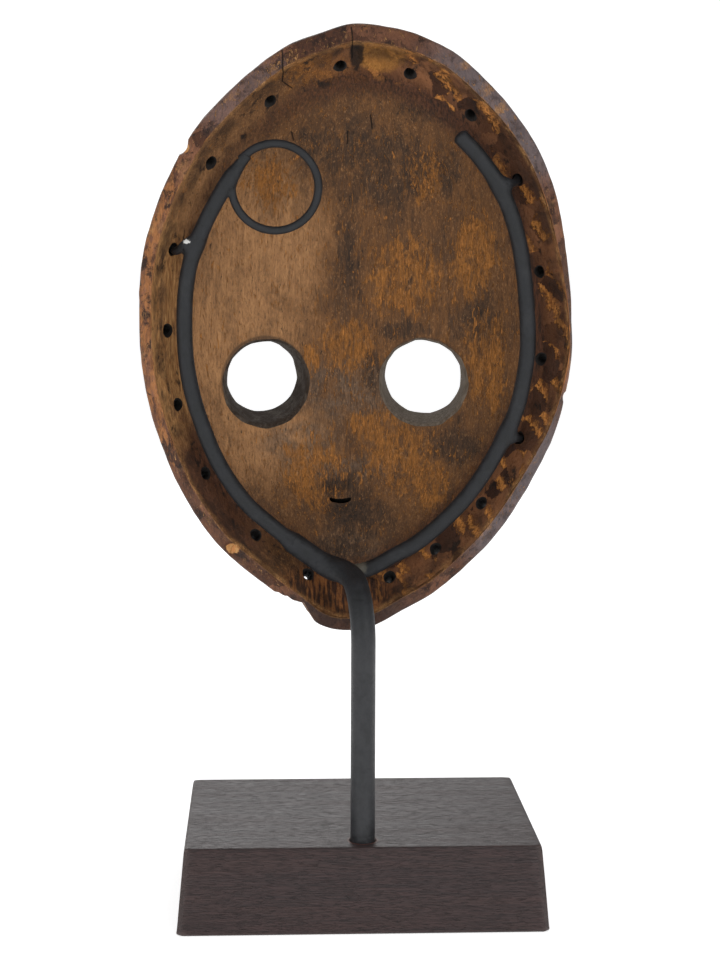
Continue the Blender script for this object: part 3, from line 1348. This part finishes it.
def spot(place, middle, size, raggedness=0.6, grain=0.004, softness=0.25):
    """A soft-edged patch at (x, z) in millimetres of the mask's frame, on any depth."""
    inputs = {"Place": place, "Middle": flat_metres(middle), "Size": flat_metres(size, 9.0),
              "Raggedness": raggedness, "Grain": grain, "Softness": softness}
    return place.nodes.group(SPOT, inputs)["Mask"]


def crack(place, start, end, width=0.00036, wander=0.0012):
    """A fine dark line between two points in millimetres of the mask's frame."""
    inputs = {"Place": place, "Start": flat_metres(start), "End": flat_metres(end),
              "Width": width, "Wander": wander}
    return place.nodes.group(CRACK, inputs)["Mask"]


def fibres(place, width, length, sway=0.5):
    inputs = {"Place": place, "Width": width, "Length": length, "Sway": sway}
    return place.nodes.group(FIBRES, inputs)["Mask"]


def mottle(place, size, amount, edge=0.12):
    inputs = {"Place": place, "Size": size, "Amount": amount, "Edge": edge}
    return place.nodes.group(MOTTLE, inputs)["Mask"]


def worn_edges(place, sharpness, amount, grain):
    inputs = {"Place": place, "Sharpness": sharpness, "Amount": amount, "Grain": grain}
    return place.nodes.group(WORN, inputs)["Mask"]


def specks(place, spacing, size, share):
    inputs = {"Place": place, "Spacing": spacing, "Size": size, "Share": share}
    return place.nodes.group(SPECKS, inputs)["Mask"]


def chip_carving(place, size, towards, torn):
    """Tone, height and torn edges of chips that were cut side by side."""
    inputs = {"Place": place, "Size": size, "Towards": towards, "Torn": torn}
    return place.nodes.group(CHIPPING, inputs)


def plus(*masks):
    """Masks added together, kept from 0 to 1."""
    total = masks[0]
    for mask in masks[1:]:
        total = total.nodes.math("ADD", total, mask, clamp=True)
    return total


def largest(masks):
    found = masks[0]
    for mask in masks[1:]:
        found = found.nodes.math("MAXIMUM", found, mask)
    return found


def zone(place, patches, softness=0.6):
    """One mask from many ragged patches."""
    return largest([spot(place, *patch, 0.7, 0.009, softness) for patch in patches])


def two_tone(share, tones):
    """From a colour's dark tone to its light one."""
    return share.nodes.mix(share, *tones)


def finish_with(nodes, colour, roughness, height, depth, specular=0.5):
    """The Principled shader that ends a material, with a bump of depth metres from height."""
    shader = nodes.tree.nodes["Principled BSDF"]
    bump = nodes.add("ShaderNodeBump", {"Strength": 1.0, "Distance": depth, "Height": height})
    nodes.feed(shader.inputs["Normal"], bump.outputs["Normal"])
    nodes.feed(shader.inputs["Base Color"], colour)
    nodes.feed(shader.inputs["Roughness"], roughness)
    nodes.feed(shader.inputs["Specular IOR Level"], specular)


print("wood colours set")

# %% Where the marks are, in millimetres of the mask's frame
DARK_PATCHES = (
    ((-4, 71), (27, 10)), ((-14, 58), (17, 12)), ((-1, 30), (6, 20)), ((14, 76), (7, 4)),
    ((-26, 64), (10, 12)), ((-2, -64), (12, 8)), ((-5, -76), (15, 9)), ((2, -87), (10, 6)),
    ((-11, -16), (5, 11)), ((-23, -1), (13, 4)), ((-44, -47), (12, 8)), ((-52, 4), (9, 12)),
    ((-40, 62), (5, 10)), ((-30, 88), (12, 8)), ((24, -24), (5, 4)),
)
ORANGE_PATCHES = (
    ((-50, 30), (9, 18)), ((-2, -8), (12, 12)), ((14, -14), (5, 7)), ((-22, -52), (16, 14)),
    ((-34, -62), (9, 10)), ((12, -58), (14, 14)), ((-24, 20), (14, 16)), ((-30, 62), (8, 12)),
    ((10, 102), (26, 6)), ((30, 58), (9, 11)), ((-56, -12), (8, 22)), ((-12, -40), (10, 8)),
)
PALE_PATCHES = (((46, 2), (26, 66)), ((30, -44), (20, 14)), ((30, 34), (20, 30)))
GREY_PATCHES = (
    ((0, -26), (24, 12)), ((18, -46), (14, 8)), ((-4, -58), (16, 5)), ((-2, -92), (16, 10)),
)
CRACKS = (
    ((-0.7, 117), (-1.0, 106)), ((25.2, 110), (24.9, 97)), ((24.9, 97), (21.5, 94.5)),
    ((-0.3, 78.0), (-0.2, 73)), ((21.5, 77.5), (20.8, 74.5)), ((-9, 84), (-9.6, 79)),
)
EYE_EDGES = (((32.0, -20.3), 16.6), ((-31.6, -21.3), 16.8))
print("marks:", len(DARK_PATCHES) + len(ORANGE_PATCHES) + len(PALE_PATCHES) + len(CRACKS))

# %% The hollow, layer by layer
nodes = Nodes(CARVED_WOOD.node_tree)
place = mask_place(nodes)
upright = place * (1.0, 1.0, 0.42)
profile = nodes.attribute("profile")
stands_out = nodes.remap(nodes.attribute("sharpness"), 0.02, 0.30)
sunken = nodes.remap(nodes.attribute("sharpness"), -0.02, -0.14)
across = nodes.axis(place, "X")

coarse = fibres(place, 0.0034, 0.02, 1.2)
fine = fibres(place, 0.0008, 0.008, 0.9)
hairs = fibres(place, 0.0003, 0.0034, 0.6)
cloud = mottle(place, 0.011, 0.5, 0.25)
weave = plus(coarse * 0.3, fine * 0.28, hairs * 0.17, cloud * 0.25)

pale_zone = zone(place, PALE_PATCHES)
orange_zone = zone(place, ORANGE_PATCHES)
dark_zone = zone(place, DARK_PATCHES)
grey_zone = zone(place, GREY_PATCHES)

colour = nodes.mix(pale_zone, two_tone(weave, BROWN), two_tone(weave, PALE_BROWN))
blotches = mottle(upright, 0.0085, 0.44, 0.07)
colour = nodes.mix(blotches * nodes.remap(pale_zone, 0.0, 1.0, 0.6, 0.35), colour,
                   two_tone(fine, (DARK_BROWN[1], BROWN[0])))
smears = grey_zone * mottle(place * (1.0, 1.0, 1.3), 0.007, 0.55, 0.16)
colour = nodes.mix(smears * 0.85, colour, two_tone(fine, GREY_BROWN))
orange_amount = plus(orange_zone * 0.3, 0.27)
flecks = mottle(upright, 0.003, orange_amount, 0.07)
colour = nodes.mix(flecks * nodes.remap(fine, 0.0, 1.0, 0.55, 1.0), colour, two_tone(weave, ORANGE))
dark_amount = plus(dark_zone * 0.4, 0.2)
smoke = mottle(upright, 0.0036, dark_amount, 0.09)
smoke = plus(smoke * 0.75, dark_zone * 0.16) * nodes.remap(fine, 0.0, 1.0, 1.0, 0.62)
colour = nodes.mix(smoke, colour, two_tone(weave, DARK_BROWN))
grit = nodes.noise(place / (0.0007, 0.0007, 0.0016), 1.0, 6.0, 0.75)
colour = nodes.mix(nodes.remap(grit, 0.50, 0.70, 0.0, 0.55), colour, DARK_BROWN[1])
colour = nodes.mix(nodes.remap(grit, 0.47, 0.32, 0.0, 0.45), colour, PALE_BROWN[1])
mouth_dark = largest([spot(place, (1.5, -63.8), (7.5, 2.6), 1.0, 0.0025, 0.3),
                      spot(place, (-1.5, -74.5), (9.0, 4.0), 1.2, 0.003, 0.4)])
colour = nodes.mix(mouth_dark * 0.75, colour, two_tone(fine, (INK, DARK_BROWN[1])))
dashes = mottle(place * (1.0, 1.0, 0.25), 0.0018, 0.2, 0.05) * mottle(place, 0.016, 0.45, 0.12)
colour = nodes.mix(dashes * 0.8, colour, INK)
strand_noise = nodes.noise(place / (0.0011, 0.0011, 0.005), 1.0, 7.0, 0.7, 0.8)
strand_level = nodes.remap(orange_zone, 0.0, 1.0, 0.585, 0.520)
strands = nodes.remap(strand_noise, strand_level, strand_level + 0.045)
colour = nodes.mix(strands * 0.85, colour, two_tone(hairs, (ORANGE[0], BRIGHT_ORANGE)))
nicks = nodes.remap(strand_noise, nodes.remap(dark_zone, 0.0, 1.0, 0.405, 0.44), 0.335)
colour = nodes.mix(nicks * 0.8, colour, DARK_BROWN[0])
rings = []
for middle, radius in EYE_EDGES:
    from_eye = nodes.vector("LENGTH", place * (1.0, 0.0, 1.0) - flat_metres(middle))
    rings.append(nodes.remap(from_eye, radius / 1000 + 0.0012, radius / 1000 + 0.0002))
eye_grime = largest(rings) * nodes.remap(profile, 1.0, 0.98) * 0.7
colour = nodes.mix(eye_grime, colour, DARK_BROWN[1])
print("hollow layers: brown, pale, grey, orange, smoke, dashes, strands")

# %% The wall and the apex
wall = nodes.remap(profile, 0.84, 0.9) * nodes.remap(profile, 1.04, 1.0)
right_side = nodes.remap(across, 0.026, -0.030)
lower_left = spot(place, (58, -66), (26, 34), 0.5, 0.012, 0.5)
wall_red = wall * nodes.math("MAXIMUM", right_side, lower_left, clamp=True) * 0.9
colour = nodes.mix(wall_red, colour, two_tone(weave, RED_WALL))
flake_zone = nodes.remap(profile, 0.87, 0.905) * nodes.remap(profile, 1.03, 1.0) * right_side
chips = chip_carving(place, 0.0095, (-0.80, 0.0, 0.55), 0.78)
facet_tone = two_tone(chips["Tone"], FACETS)
colour = nodes.mix(flake_zone * 0.75, colour, facet_tone)
wall_foot = (nodes.remap(profile, 0.79, 0.86) * nodes.remap(profile, 0.93, 0.88)
             * nodes.remap(across, 0.05, -0.02, 0.6, 1.0) * 0.8)
colour = nodes.mix(wall_foot, colour, two_tone(fine, (INK, MAROON[1])))
torn_colour = two_tone(nodes.remap(strand_noise, 0.36, 0.62), TORN_ORANGE)
colour = nodes.mix(chips["Torn edges"] * flake_zone * 0.92, colour, torn_colour)
left_wall = wall * spot(place, (74, 0), (16, 48), 0.5, 0.008, 0.3)
left_bare = mottle(upright, 0.005, 0.58, 0.08)
colour = nodes.mix(left_wall * left_bare * 0.9, colour, two_tone(fine, OCHRE))
left_smudge = wall * mottle(upright, 0.0042, 0.36, 0.05) * 0.9
colour = nodes.mix(left_smudge, colour, DARK_BROWN[0])
apex_bare = spot(place, (-12, 107.5), (9, 6.5), 0.7, 0.003, 0.2) * nodes.remap(profile, 1.03, 1.0)
colour = nodes.mix(apex_bare, colour, two_tone(weave, APEX_ORANGE))
apex_dark = (spot(place, (-2.8, 108.0), (2.6, 7.0), 0.8, 0.002, 0.2)
             * nodes.remap(profile, 1.04, 1.0))
colour = nodes.mix(apex_dark * 0.9, colour, DARK_BROWN[0])
chin_torn = spot(place, (8, -103), (26, 9), 0.6, 0.004, 0.4) * nodes.remap(profile, 1.02, 0.99)
chin_fibres = fibres(place * (1.0, 0.15, 1.0), 0.0011, 0.015, 0.4)
chin_colour = two_tone(nodes.remap(chin_fibres, 0.25, 0.85), CHIN_STREAKS)
colour = nodes.mix(chin_torn * 0.85, colour, chin_colour)
print("wall layers: maroon, flakes, ochre, smudges, apex, torn chin")

# %% The rim
rim = nodes.remap(profile, 1.0, 1.06)
rim_grain = fibres(place, 0.002, 0.009, 1.6)
rim_weave = plus(rim_grain * 0.45, hairs * 0.2, mottle(place, 0.0085, 0.5, 0.25) * 0.35)
rim_facets = chip_carving(place, 0.0130, (0.5, 0.0, 0.8), 0.60)
rim_colour = nodes.mix(rim_facets["Tone"] * 0.7, two_tone(rim_weave, MAROON),
                       two_tone(rim_weave, RIM_FACETS))
rim_left = spot(place, (84, 12), (28, 74), 0.5, 0.01, 0.4)
bare_amount = plus(rim_left * 0.26, 0.26)
rim_bare = mottle(upright, 0.0036, bare_amount, 0.06)
rim_colour = nodes.mix(rim_bare * 0.88, rim_colour, two_tone(rim_weave, RIM_ORANGE))
bloom_zone = largest([spot(place, (-58, 88), (38, 30), 0.5, 0.01, 0.3),
                      spot(place, (-70, -64), (26, 36), 0.6, 0.008, 0.3),
                      spot(place, (44, 94), (26, 14), 0.8, 0.006, 0.3) * 0.6])
bloom = bloom_zone * nodes.remap(rim_grain, 0.1, 0.8, 1.0, 0.8)
rim_colour = nodes.mix(bloom, rim_colour, two_tone(rim_weave, GREY_BLOOM))
rim_dark = mottle(place, 0.0046, 0.4, 0.05)
rim_colour = nodes.mix(rim_dark * nodes.remap(bloom, 0.0, 1.0, 0.88, 0.45), rim_colour, MAROON[0])
rim_colour = nodes.mix(nicks * 0.7, rim_colour, INK)
rim_colour = nodes.mix(strands * 0.85, rim_colour, two_tone(hairs, BARE_STRANDS))
rim_torn = rim_facets["Torn edges"] * mottle(place, 0.012, 0.4, 0.1) * 0.8
rim_colour = nodes.mix(rim_torn, rim_colour, two_tone(hairs, BARE_STRANDS))
rim_chin = spot(place, (-2, -114), (38, 14), 0.5, 0.006, 0.4) * 0.85
rim_colour = nodes.mix(rim_chin, rim_colour, two_tone(rim_weave, RIM_CHIN))
colour = nodes.mix(rim, colour, rim_colour)
on_ridge = nodes.remap(profile, 0.984, 0.998) * nodes.remap(profile, 1.12, 1.02)
ridge_parts = mottle(place, 0.0052, 0.44, 0.1)
ridge_line = on_ridge * plus(ridge_parts * 0.85, 0.18)
colour = nodes.mix(ridge_line, colour, two_tone(hairs, BARE_STRANDS))
under_ridge = (nodes.remap(profile, 0.93, 0.965) * nodes.remap(profile, 1.0, 0.985)
               * mottle(place, 0.008, 0.5, 0.12) * 0.6)
colour = nodes.mix(under_ridge, colour, DARK_BROWN[0])
print("rim layers: maroon, orange, bloom, smoke, ridge")

# %% Worn edges, cracks and the face
bare = worn_edges(place, stands_out, 0.22, 0.0045)
behind = nodes.remap(profile, 2.9, 2.2)
colour = nodes.mix(bare * behind * 0.75, colour, two_tone(fine, RIM_ORANGE))
chipped = []
for x, z, reach, _ in CHIPS.values():
    middle, size = ((1000 * x, 1000 * z), (900 * reach, 700 * reach))
    chipped.append(spot(place, middle, size, 1.1, 0.0024, 0.1))
colour = nodes.mix(largest(chipped) * behind, colour, two_tone(fine, FRESH_CHIP))
grime = sunken * nodes.remap(profile, 1.1, 1.0) * 0.55
colour = nodes.mix(grime, colour, DARK_BROWN[1])

front = nodes.remap(profile, 2.5, 3.02)
polish = worn_edges(place, stands_out, 0.42, 0.008)
face_colour = two_tone(weave, PATINA)
face_colour = nodes.mix(polish * 0.8, face_colour, POLISHED)
face_colour = nodes.mix(mottle(place, 0.01, 0.3, 0.06) * 0.45, face_colour, INK)
colour = nodes.mix(front, colour, face_colour)
crack_lines = largest([crack(place, *line) for line in CRACKS])
crack_lines = crack_lines * nodes.remap(profile, 3.0, 2.9)
colour = nodes.mix(crack_lines * 0.9, colour, INK)
flakes = specks(place, 0.012, 0.040, 0.25)
colour = nodes.mix(flakes * 0.5, colour, OCHRE[1])

height = plus(weave * 0.7, flecks * 0.12) - dashes * 0.30
height = height + chips["Height"] * flake_zone * 2.6 - chips["Torn edges"] * flake_zone * 0.7
height = height - grit * 0.25 - strands * 0.25 - crack_lines * 1.6
height = height * nodes.remap(profile, 2.9, 3.1, 1.0, 0.35)
shine = nodes.remap(profile, 0.98, 1.06, 0.64, 0.42)
shine = shine + weave * 0.12
finish_with(nodes, colour, shine, height, 0.00090, specular=0.20)
print("carved wood:", len(nodes.tree.nodes), "nodes")

# %% [markdown]
# ## Cut and torn wood
#
# The walls of the eyes were cut with a knife and have greyed: flat facets, fine scratches. The
# perforations are dark with use. The notch beside the chin is a break, with long torn fibres and a
# fresher orange colour.

# %% Finishes of the cuts
CUT_GREY = ((0.045, 0.033, 0.025), (0.105, 0.086, 0.070))
LIT_CUT = ((0.120, 0.095, 0.072), (0.250, 0.205, 0.160))
CUT_STAIN = (0.030, 0.019, 0.013)
TORN_FIBRES = ((0.110, 0.052, 0.026), (0.360, 0.180, 0.080))

nodes = Nodes(KNIFE_CUT_WOOD.node_tree)
place = mask_place(nodes)
grain = fibres(place, 0.0009, 0.008, 0.6)
blotch = mottle(place, 0.006, 0.5, 0.15)
colour = two_tone(grain, CUT_GREY)
colour = nodes.mix(blotch * 0.8, colour, CUT_STAIN)
lit_side = nodes.remap(nodes.axis(place, "X"), 0.010, -0.010, 0.0, 0.6)
colour = nodes.mix(lit_side, colour, two_tone(grain, LIT_CUT))
mouth = spot(place, (0, -70), (16, 12), 0.2, 0.006, 0.3)
colour = nodes.mix(mouth * 0.9, colour, INK)
finish_with(nodes, colour, 0.80, grain, 0.00025, specular=0.10)

nodes = Nodes(PIERCED_WOOD.node_tree)
place = mask_place(nodes)
grain = fibres(place, 0.0008, 0.006, 0.6)
finish_with(nodes, nodes.mix(grain, INK, DARK_BROWN[0]), 0.8, grain, 0.0002)

nodes = Nodes(TORN_WOOD.node_tree)
place = mask_place(nodes)
long_fibres = fibres(place, 0.0011, 0.02, 0.4)
short_fibres = fibres(place, 0.0004, 0.009, 0.3)
colour = two_tone(long_fibres, TORN_FIBRES)
colour = nodes.mix(short_fibres * 0.45, colour, BROWN[1])
colour = nodes.mix(mottle(place, 0.008, 0.42, 0.1) * 0.7, colour, DARK_BROWN[1])
finish_with(nodes, colour, 0.72, long_fibres + short_fibres * 0.5, 0.0006)
print("cut finishes: knife, pierced, torn")

# %% [markdown]
# ## Painted steel
#
# The bar is brushed with matt black paint that has dried a little uneven, so it is dark slate with
# a soft highlight. Where rods were welded, the paint is thin and a dull yellow-grey shows.

# %% Finish of the steel
SLATE = ((0.004, 0.005, 0.006), (0.011, 0.012, 0.015))
WORN_PAINT = (0.028, 0.029, 0.032)
POST_PAINT = (0.026, 0.027, 0.030)
WELD_GREY = (0.110, 0.098, 0.075)
BARE_METAL = (0.62, 0.62, 0.60)
PAINT_DOTS = (0.30, 0.30, 0.29)
WELD_FROM_JOINT = (-0.0046, 0.0030, 0.0024)
METAL_FROM_PRONG = (0.0, 0.0016, 0.0010)

BLACK_STEEL = new_material("black_steel")
nodes = Nodes(BLACK_STEEL.node_tree)
place = nodes.object_place()
brushed = mottle(place, 0.005, 0.5, 0.25)
grit = nodes.noise(place, 1600.0, 3.0)
worn = mottle(place, 0.017, 0.34, 0.1)
colour = two_tone(brushed, SLATE)
colour = nodes.mix(worn * 0.4, colour, WORN_PAINT)
on_post = nodes.remap(nodes.axis(place, "Z"), 0.128, 0.104)
colour = nodes.mix(on_post * nodes.remap(brushed, 0.0, 1.0, 0.5, 1.0), colour, POST_PAINT)
weld_inputs = {"Place": place, "Middle": tuple(joint + WELD_FROM_JOINT),
               "Size": (0.0030, 0.0080, 0.0032), "Raggedness": 0.9, "Grain": 0.0016,
               "Softness": 0.4}
weld = nodes.group(SPOT, weld_inputs)["Mask"]
colour = nodes.mix(weld * 0.75, colour, WELD_GREY)
metal_inputs = {"Place": place, "Middle": tuple(prong_paths[0][0][6] + METAL_FROM_PRONG),
                "Size": (0.0012, 0.0030, 0.0008), "Raggedness": 3.0, "Grain": 0.0006,
                "Softness": 0.15}
colour = nodes.mix(nodes.group(SPOT, metal_inputs)["Mask"], colour, BARE_METAL)
dots = specks(place, 0.0085, 0.030, 0.25)
colour = nodes.mix(dots * 0.7, colour, PAINT_DOTS)
shine = nodes.remap(brushed, 0.0, 1.0, 0.5, 0.6) + on_post * -0.14
height = grit + brushed * 1.5
finish_with(nodes, colour, shine, height, 0.00012, specular=0.36)
for piece in steel_pieces:
    piece.data.materials.append(BLACK_STEEL)
print("black steel:", len(nodes.tree.nodes), "nodes")

# %% [markdown]
# ## Stained block
#
# The block is open-pored hardwood, stained nearly black with a red warmth and rubbed with wax. Its
# grain runs along the block, so the fibre group is fed with x and z swapped. Pores are short dark
# dashes that also dent the surface. Edges are rubbed a little lighter, and the socket's rim shows
# bare red wood.

# %% Finish of the block
STAIN = ((0.018, 0.0100, 0.0105), (0.039, 0.0200, 0.0195))
STAIN_FIGURE = (0.052, 0.024, 0.020)
PORE_BLACK = (0.012, 0.009, 0.009)
RUBBED_EDGE = (0.115, 0.085, 0.078)
BARE_RED = (0.115, 0.036, 0.020)
DUST = (0.36, 0.34, 0.34)

BLOCK_WOOD = new_material("block_wood")
nodes = Nodes(BLOCK_WOOD.node_tree)
raw = nodes.object_place()
swapped = nodes.join(nodes.axis(raw, "Z"), nodes.axis(raw, "Y"), nodes.axis(raw, "X"))
figure = fibres(swapped, 0.0045, 0.09, 0.5)
grain = fibres(swapped, 0.0007, 0.02, 0.25)
pores = fibres(swapped, 0.00022, 0.0042, 0.2)
pore_mask = nodes.remap(pores, 0.62, 0.86)
colour = two_tone(grain, STAIN)
colour = nodes.mix(figure * 0.4, colour, STAIN_FIGURE)
colour = nodes.mix(pore_mask * 0.65, colour, PORE_BLACK)
rubbed = nodes.remap(nodes.attribute("sharpness"), 0.05, 0.35)
colour = nodes.mix(rubbed * 0.5, colour, RUBBED_EDGE)
from_post = raw * (1.0, 1.0, 0.0) - (float(socket[0]), float(socket[1]), 0.0)
away = nodes.vector("LENGTH", from_post)
bare_ring = nodes.remap(away, SOCKET_RADIUS + 0.0014, SOCKET_RADIUS + 0.0007)
colour = nodes.mix(bare_ring * 0.85, colour, BARE_RED)
dust = specks(raw, 0.0120, 0.028, 0.35)
colour = nodes.mix(dust * 0.55, colour, DUST)
height = grain * 0.5 + pore_mask * -1.0
shine = nodes.remap(figure, 0.0, 1.0, 0.34, 0.42) + pore_mask * 0.2
finish_with(nodes, colour, shine, height, 0.00012, specular=0.42)
block_piece.data.materials.append(BLOCK_WOOD)
print("block wood:", len(nodes.tree.nodes), "nodes")

# %% [markdown]
# ## Floor and light
#
# The picture is a plain studio shot on white. A white world gives the even light, one large soft
# lamp above the camera gives the forms their highlights, and a small one from the side lifts the
# steel. The floor is one pale sheet, large enough for any view.

# %% The stage
FLOOR_SIZE = 60.0
floor_mesh = bpy.data.meshes.new("floor")
half = FLOOR_SIZE / 2
floor_mesh.from_pydata([(-half, -half, 0), (half, -half, 0), (half, half, 0), (-half, half, 0)], [],
                       [(0, 1, 2, 3)])
floor = bpy.data.objects.new("floor", floor_mesh)
bpy.context.scene.collection.objects.link(floor)
PALE = new_material("pale_floor")
pale_shader = PALE.node_tree.nodes["Principled BSDF"]
pale_shader.inputs["Base Color"].default_value = (0.92, 0.92, 0.92, 1.0)
pale_shader.inputs["Roughness"].default_value = 0.9
pale_shader.inputs["Specular IOR Level"].default_value = 0.1
pale_shader.inputs["Emission Color"].default_value = (1.0, 1.0, 1.0, 1.0)
pale_shader.inputs["Emission Strength"].default_value = 0.55
floor_mesh.materials.append(PALE)

LAMPS = {
    "key": ((-0.75, 1.25, 0.95), 0.9, 9.0),
    "fill": ((1.10, 1.05, 0.70), 0.8, 5.0),
    "front": ((0.20, -1.30, 0.90), 1.0, 5.0),
}
AIM = Vector((0.0, 0.0, 0.18))
for name, (where, size, power) in LAMPS.items():
    lamp_data = bpy.data.lights.new(name, "AREA")
    lamp_data.size = size
    lamp_data.energy = power
    lamp = bpy.data.objects.new(name, lamp_data)
    lamp.location = where
    lamp.rotation_euler = (AIM - Vector(where)).to_track_quat("-Z", "Y").to_euler()
    bpy.context.scene.collection.objects.link(lamp)

WHITE_SEEN = 1.15
WHITE_LIGHT = 0.50
world = bpy.data.worlds.new("studio")
bpy.context.scene.world = world
world.use_nodes = True
nodes = Nodes(world.node_tree)
seen = nodes.add("ShaderNodeLightPath").outputs["Is Camera Ray"]
strength = nodes.remap(seen, 0.0, 1.0, WHITE_LIGHT, WHITE_SEEN)
background = world.node_tree.nodes["Background"]
nodes.feed(background.inputs["Strength"], strength)
nodes.feed(background.inputs["Color"], (1.0, 1.0, 1.0, 1.0))
bpy.context.scene.view_settings.view_transform = "Standard"
print("lamps:", ", ".join(LAMPS))

# %% [markdown]
# ## Check the size
#
# The dressed model has to fill the same box as the measured parts. Both boxes are written down, so
# that they can be compared after each render.

# %% Write both boxes
mask_carving.data.update()
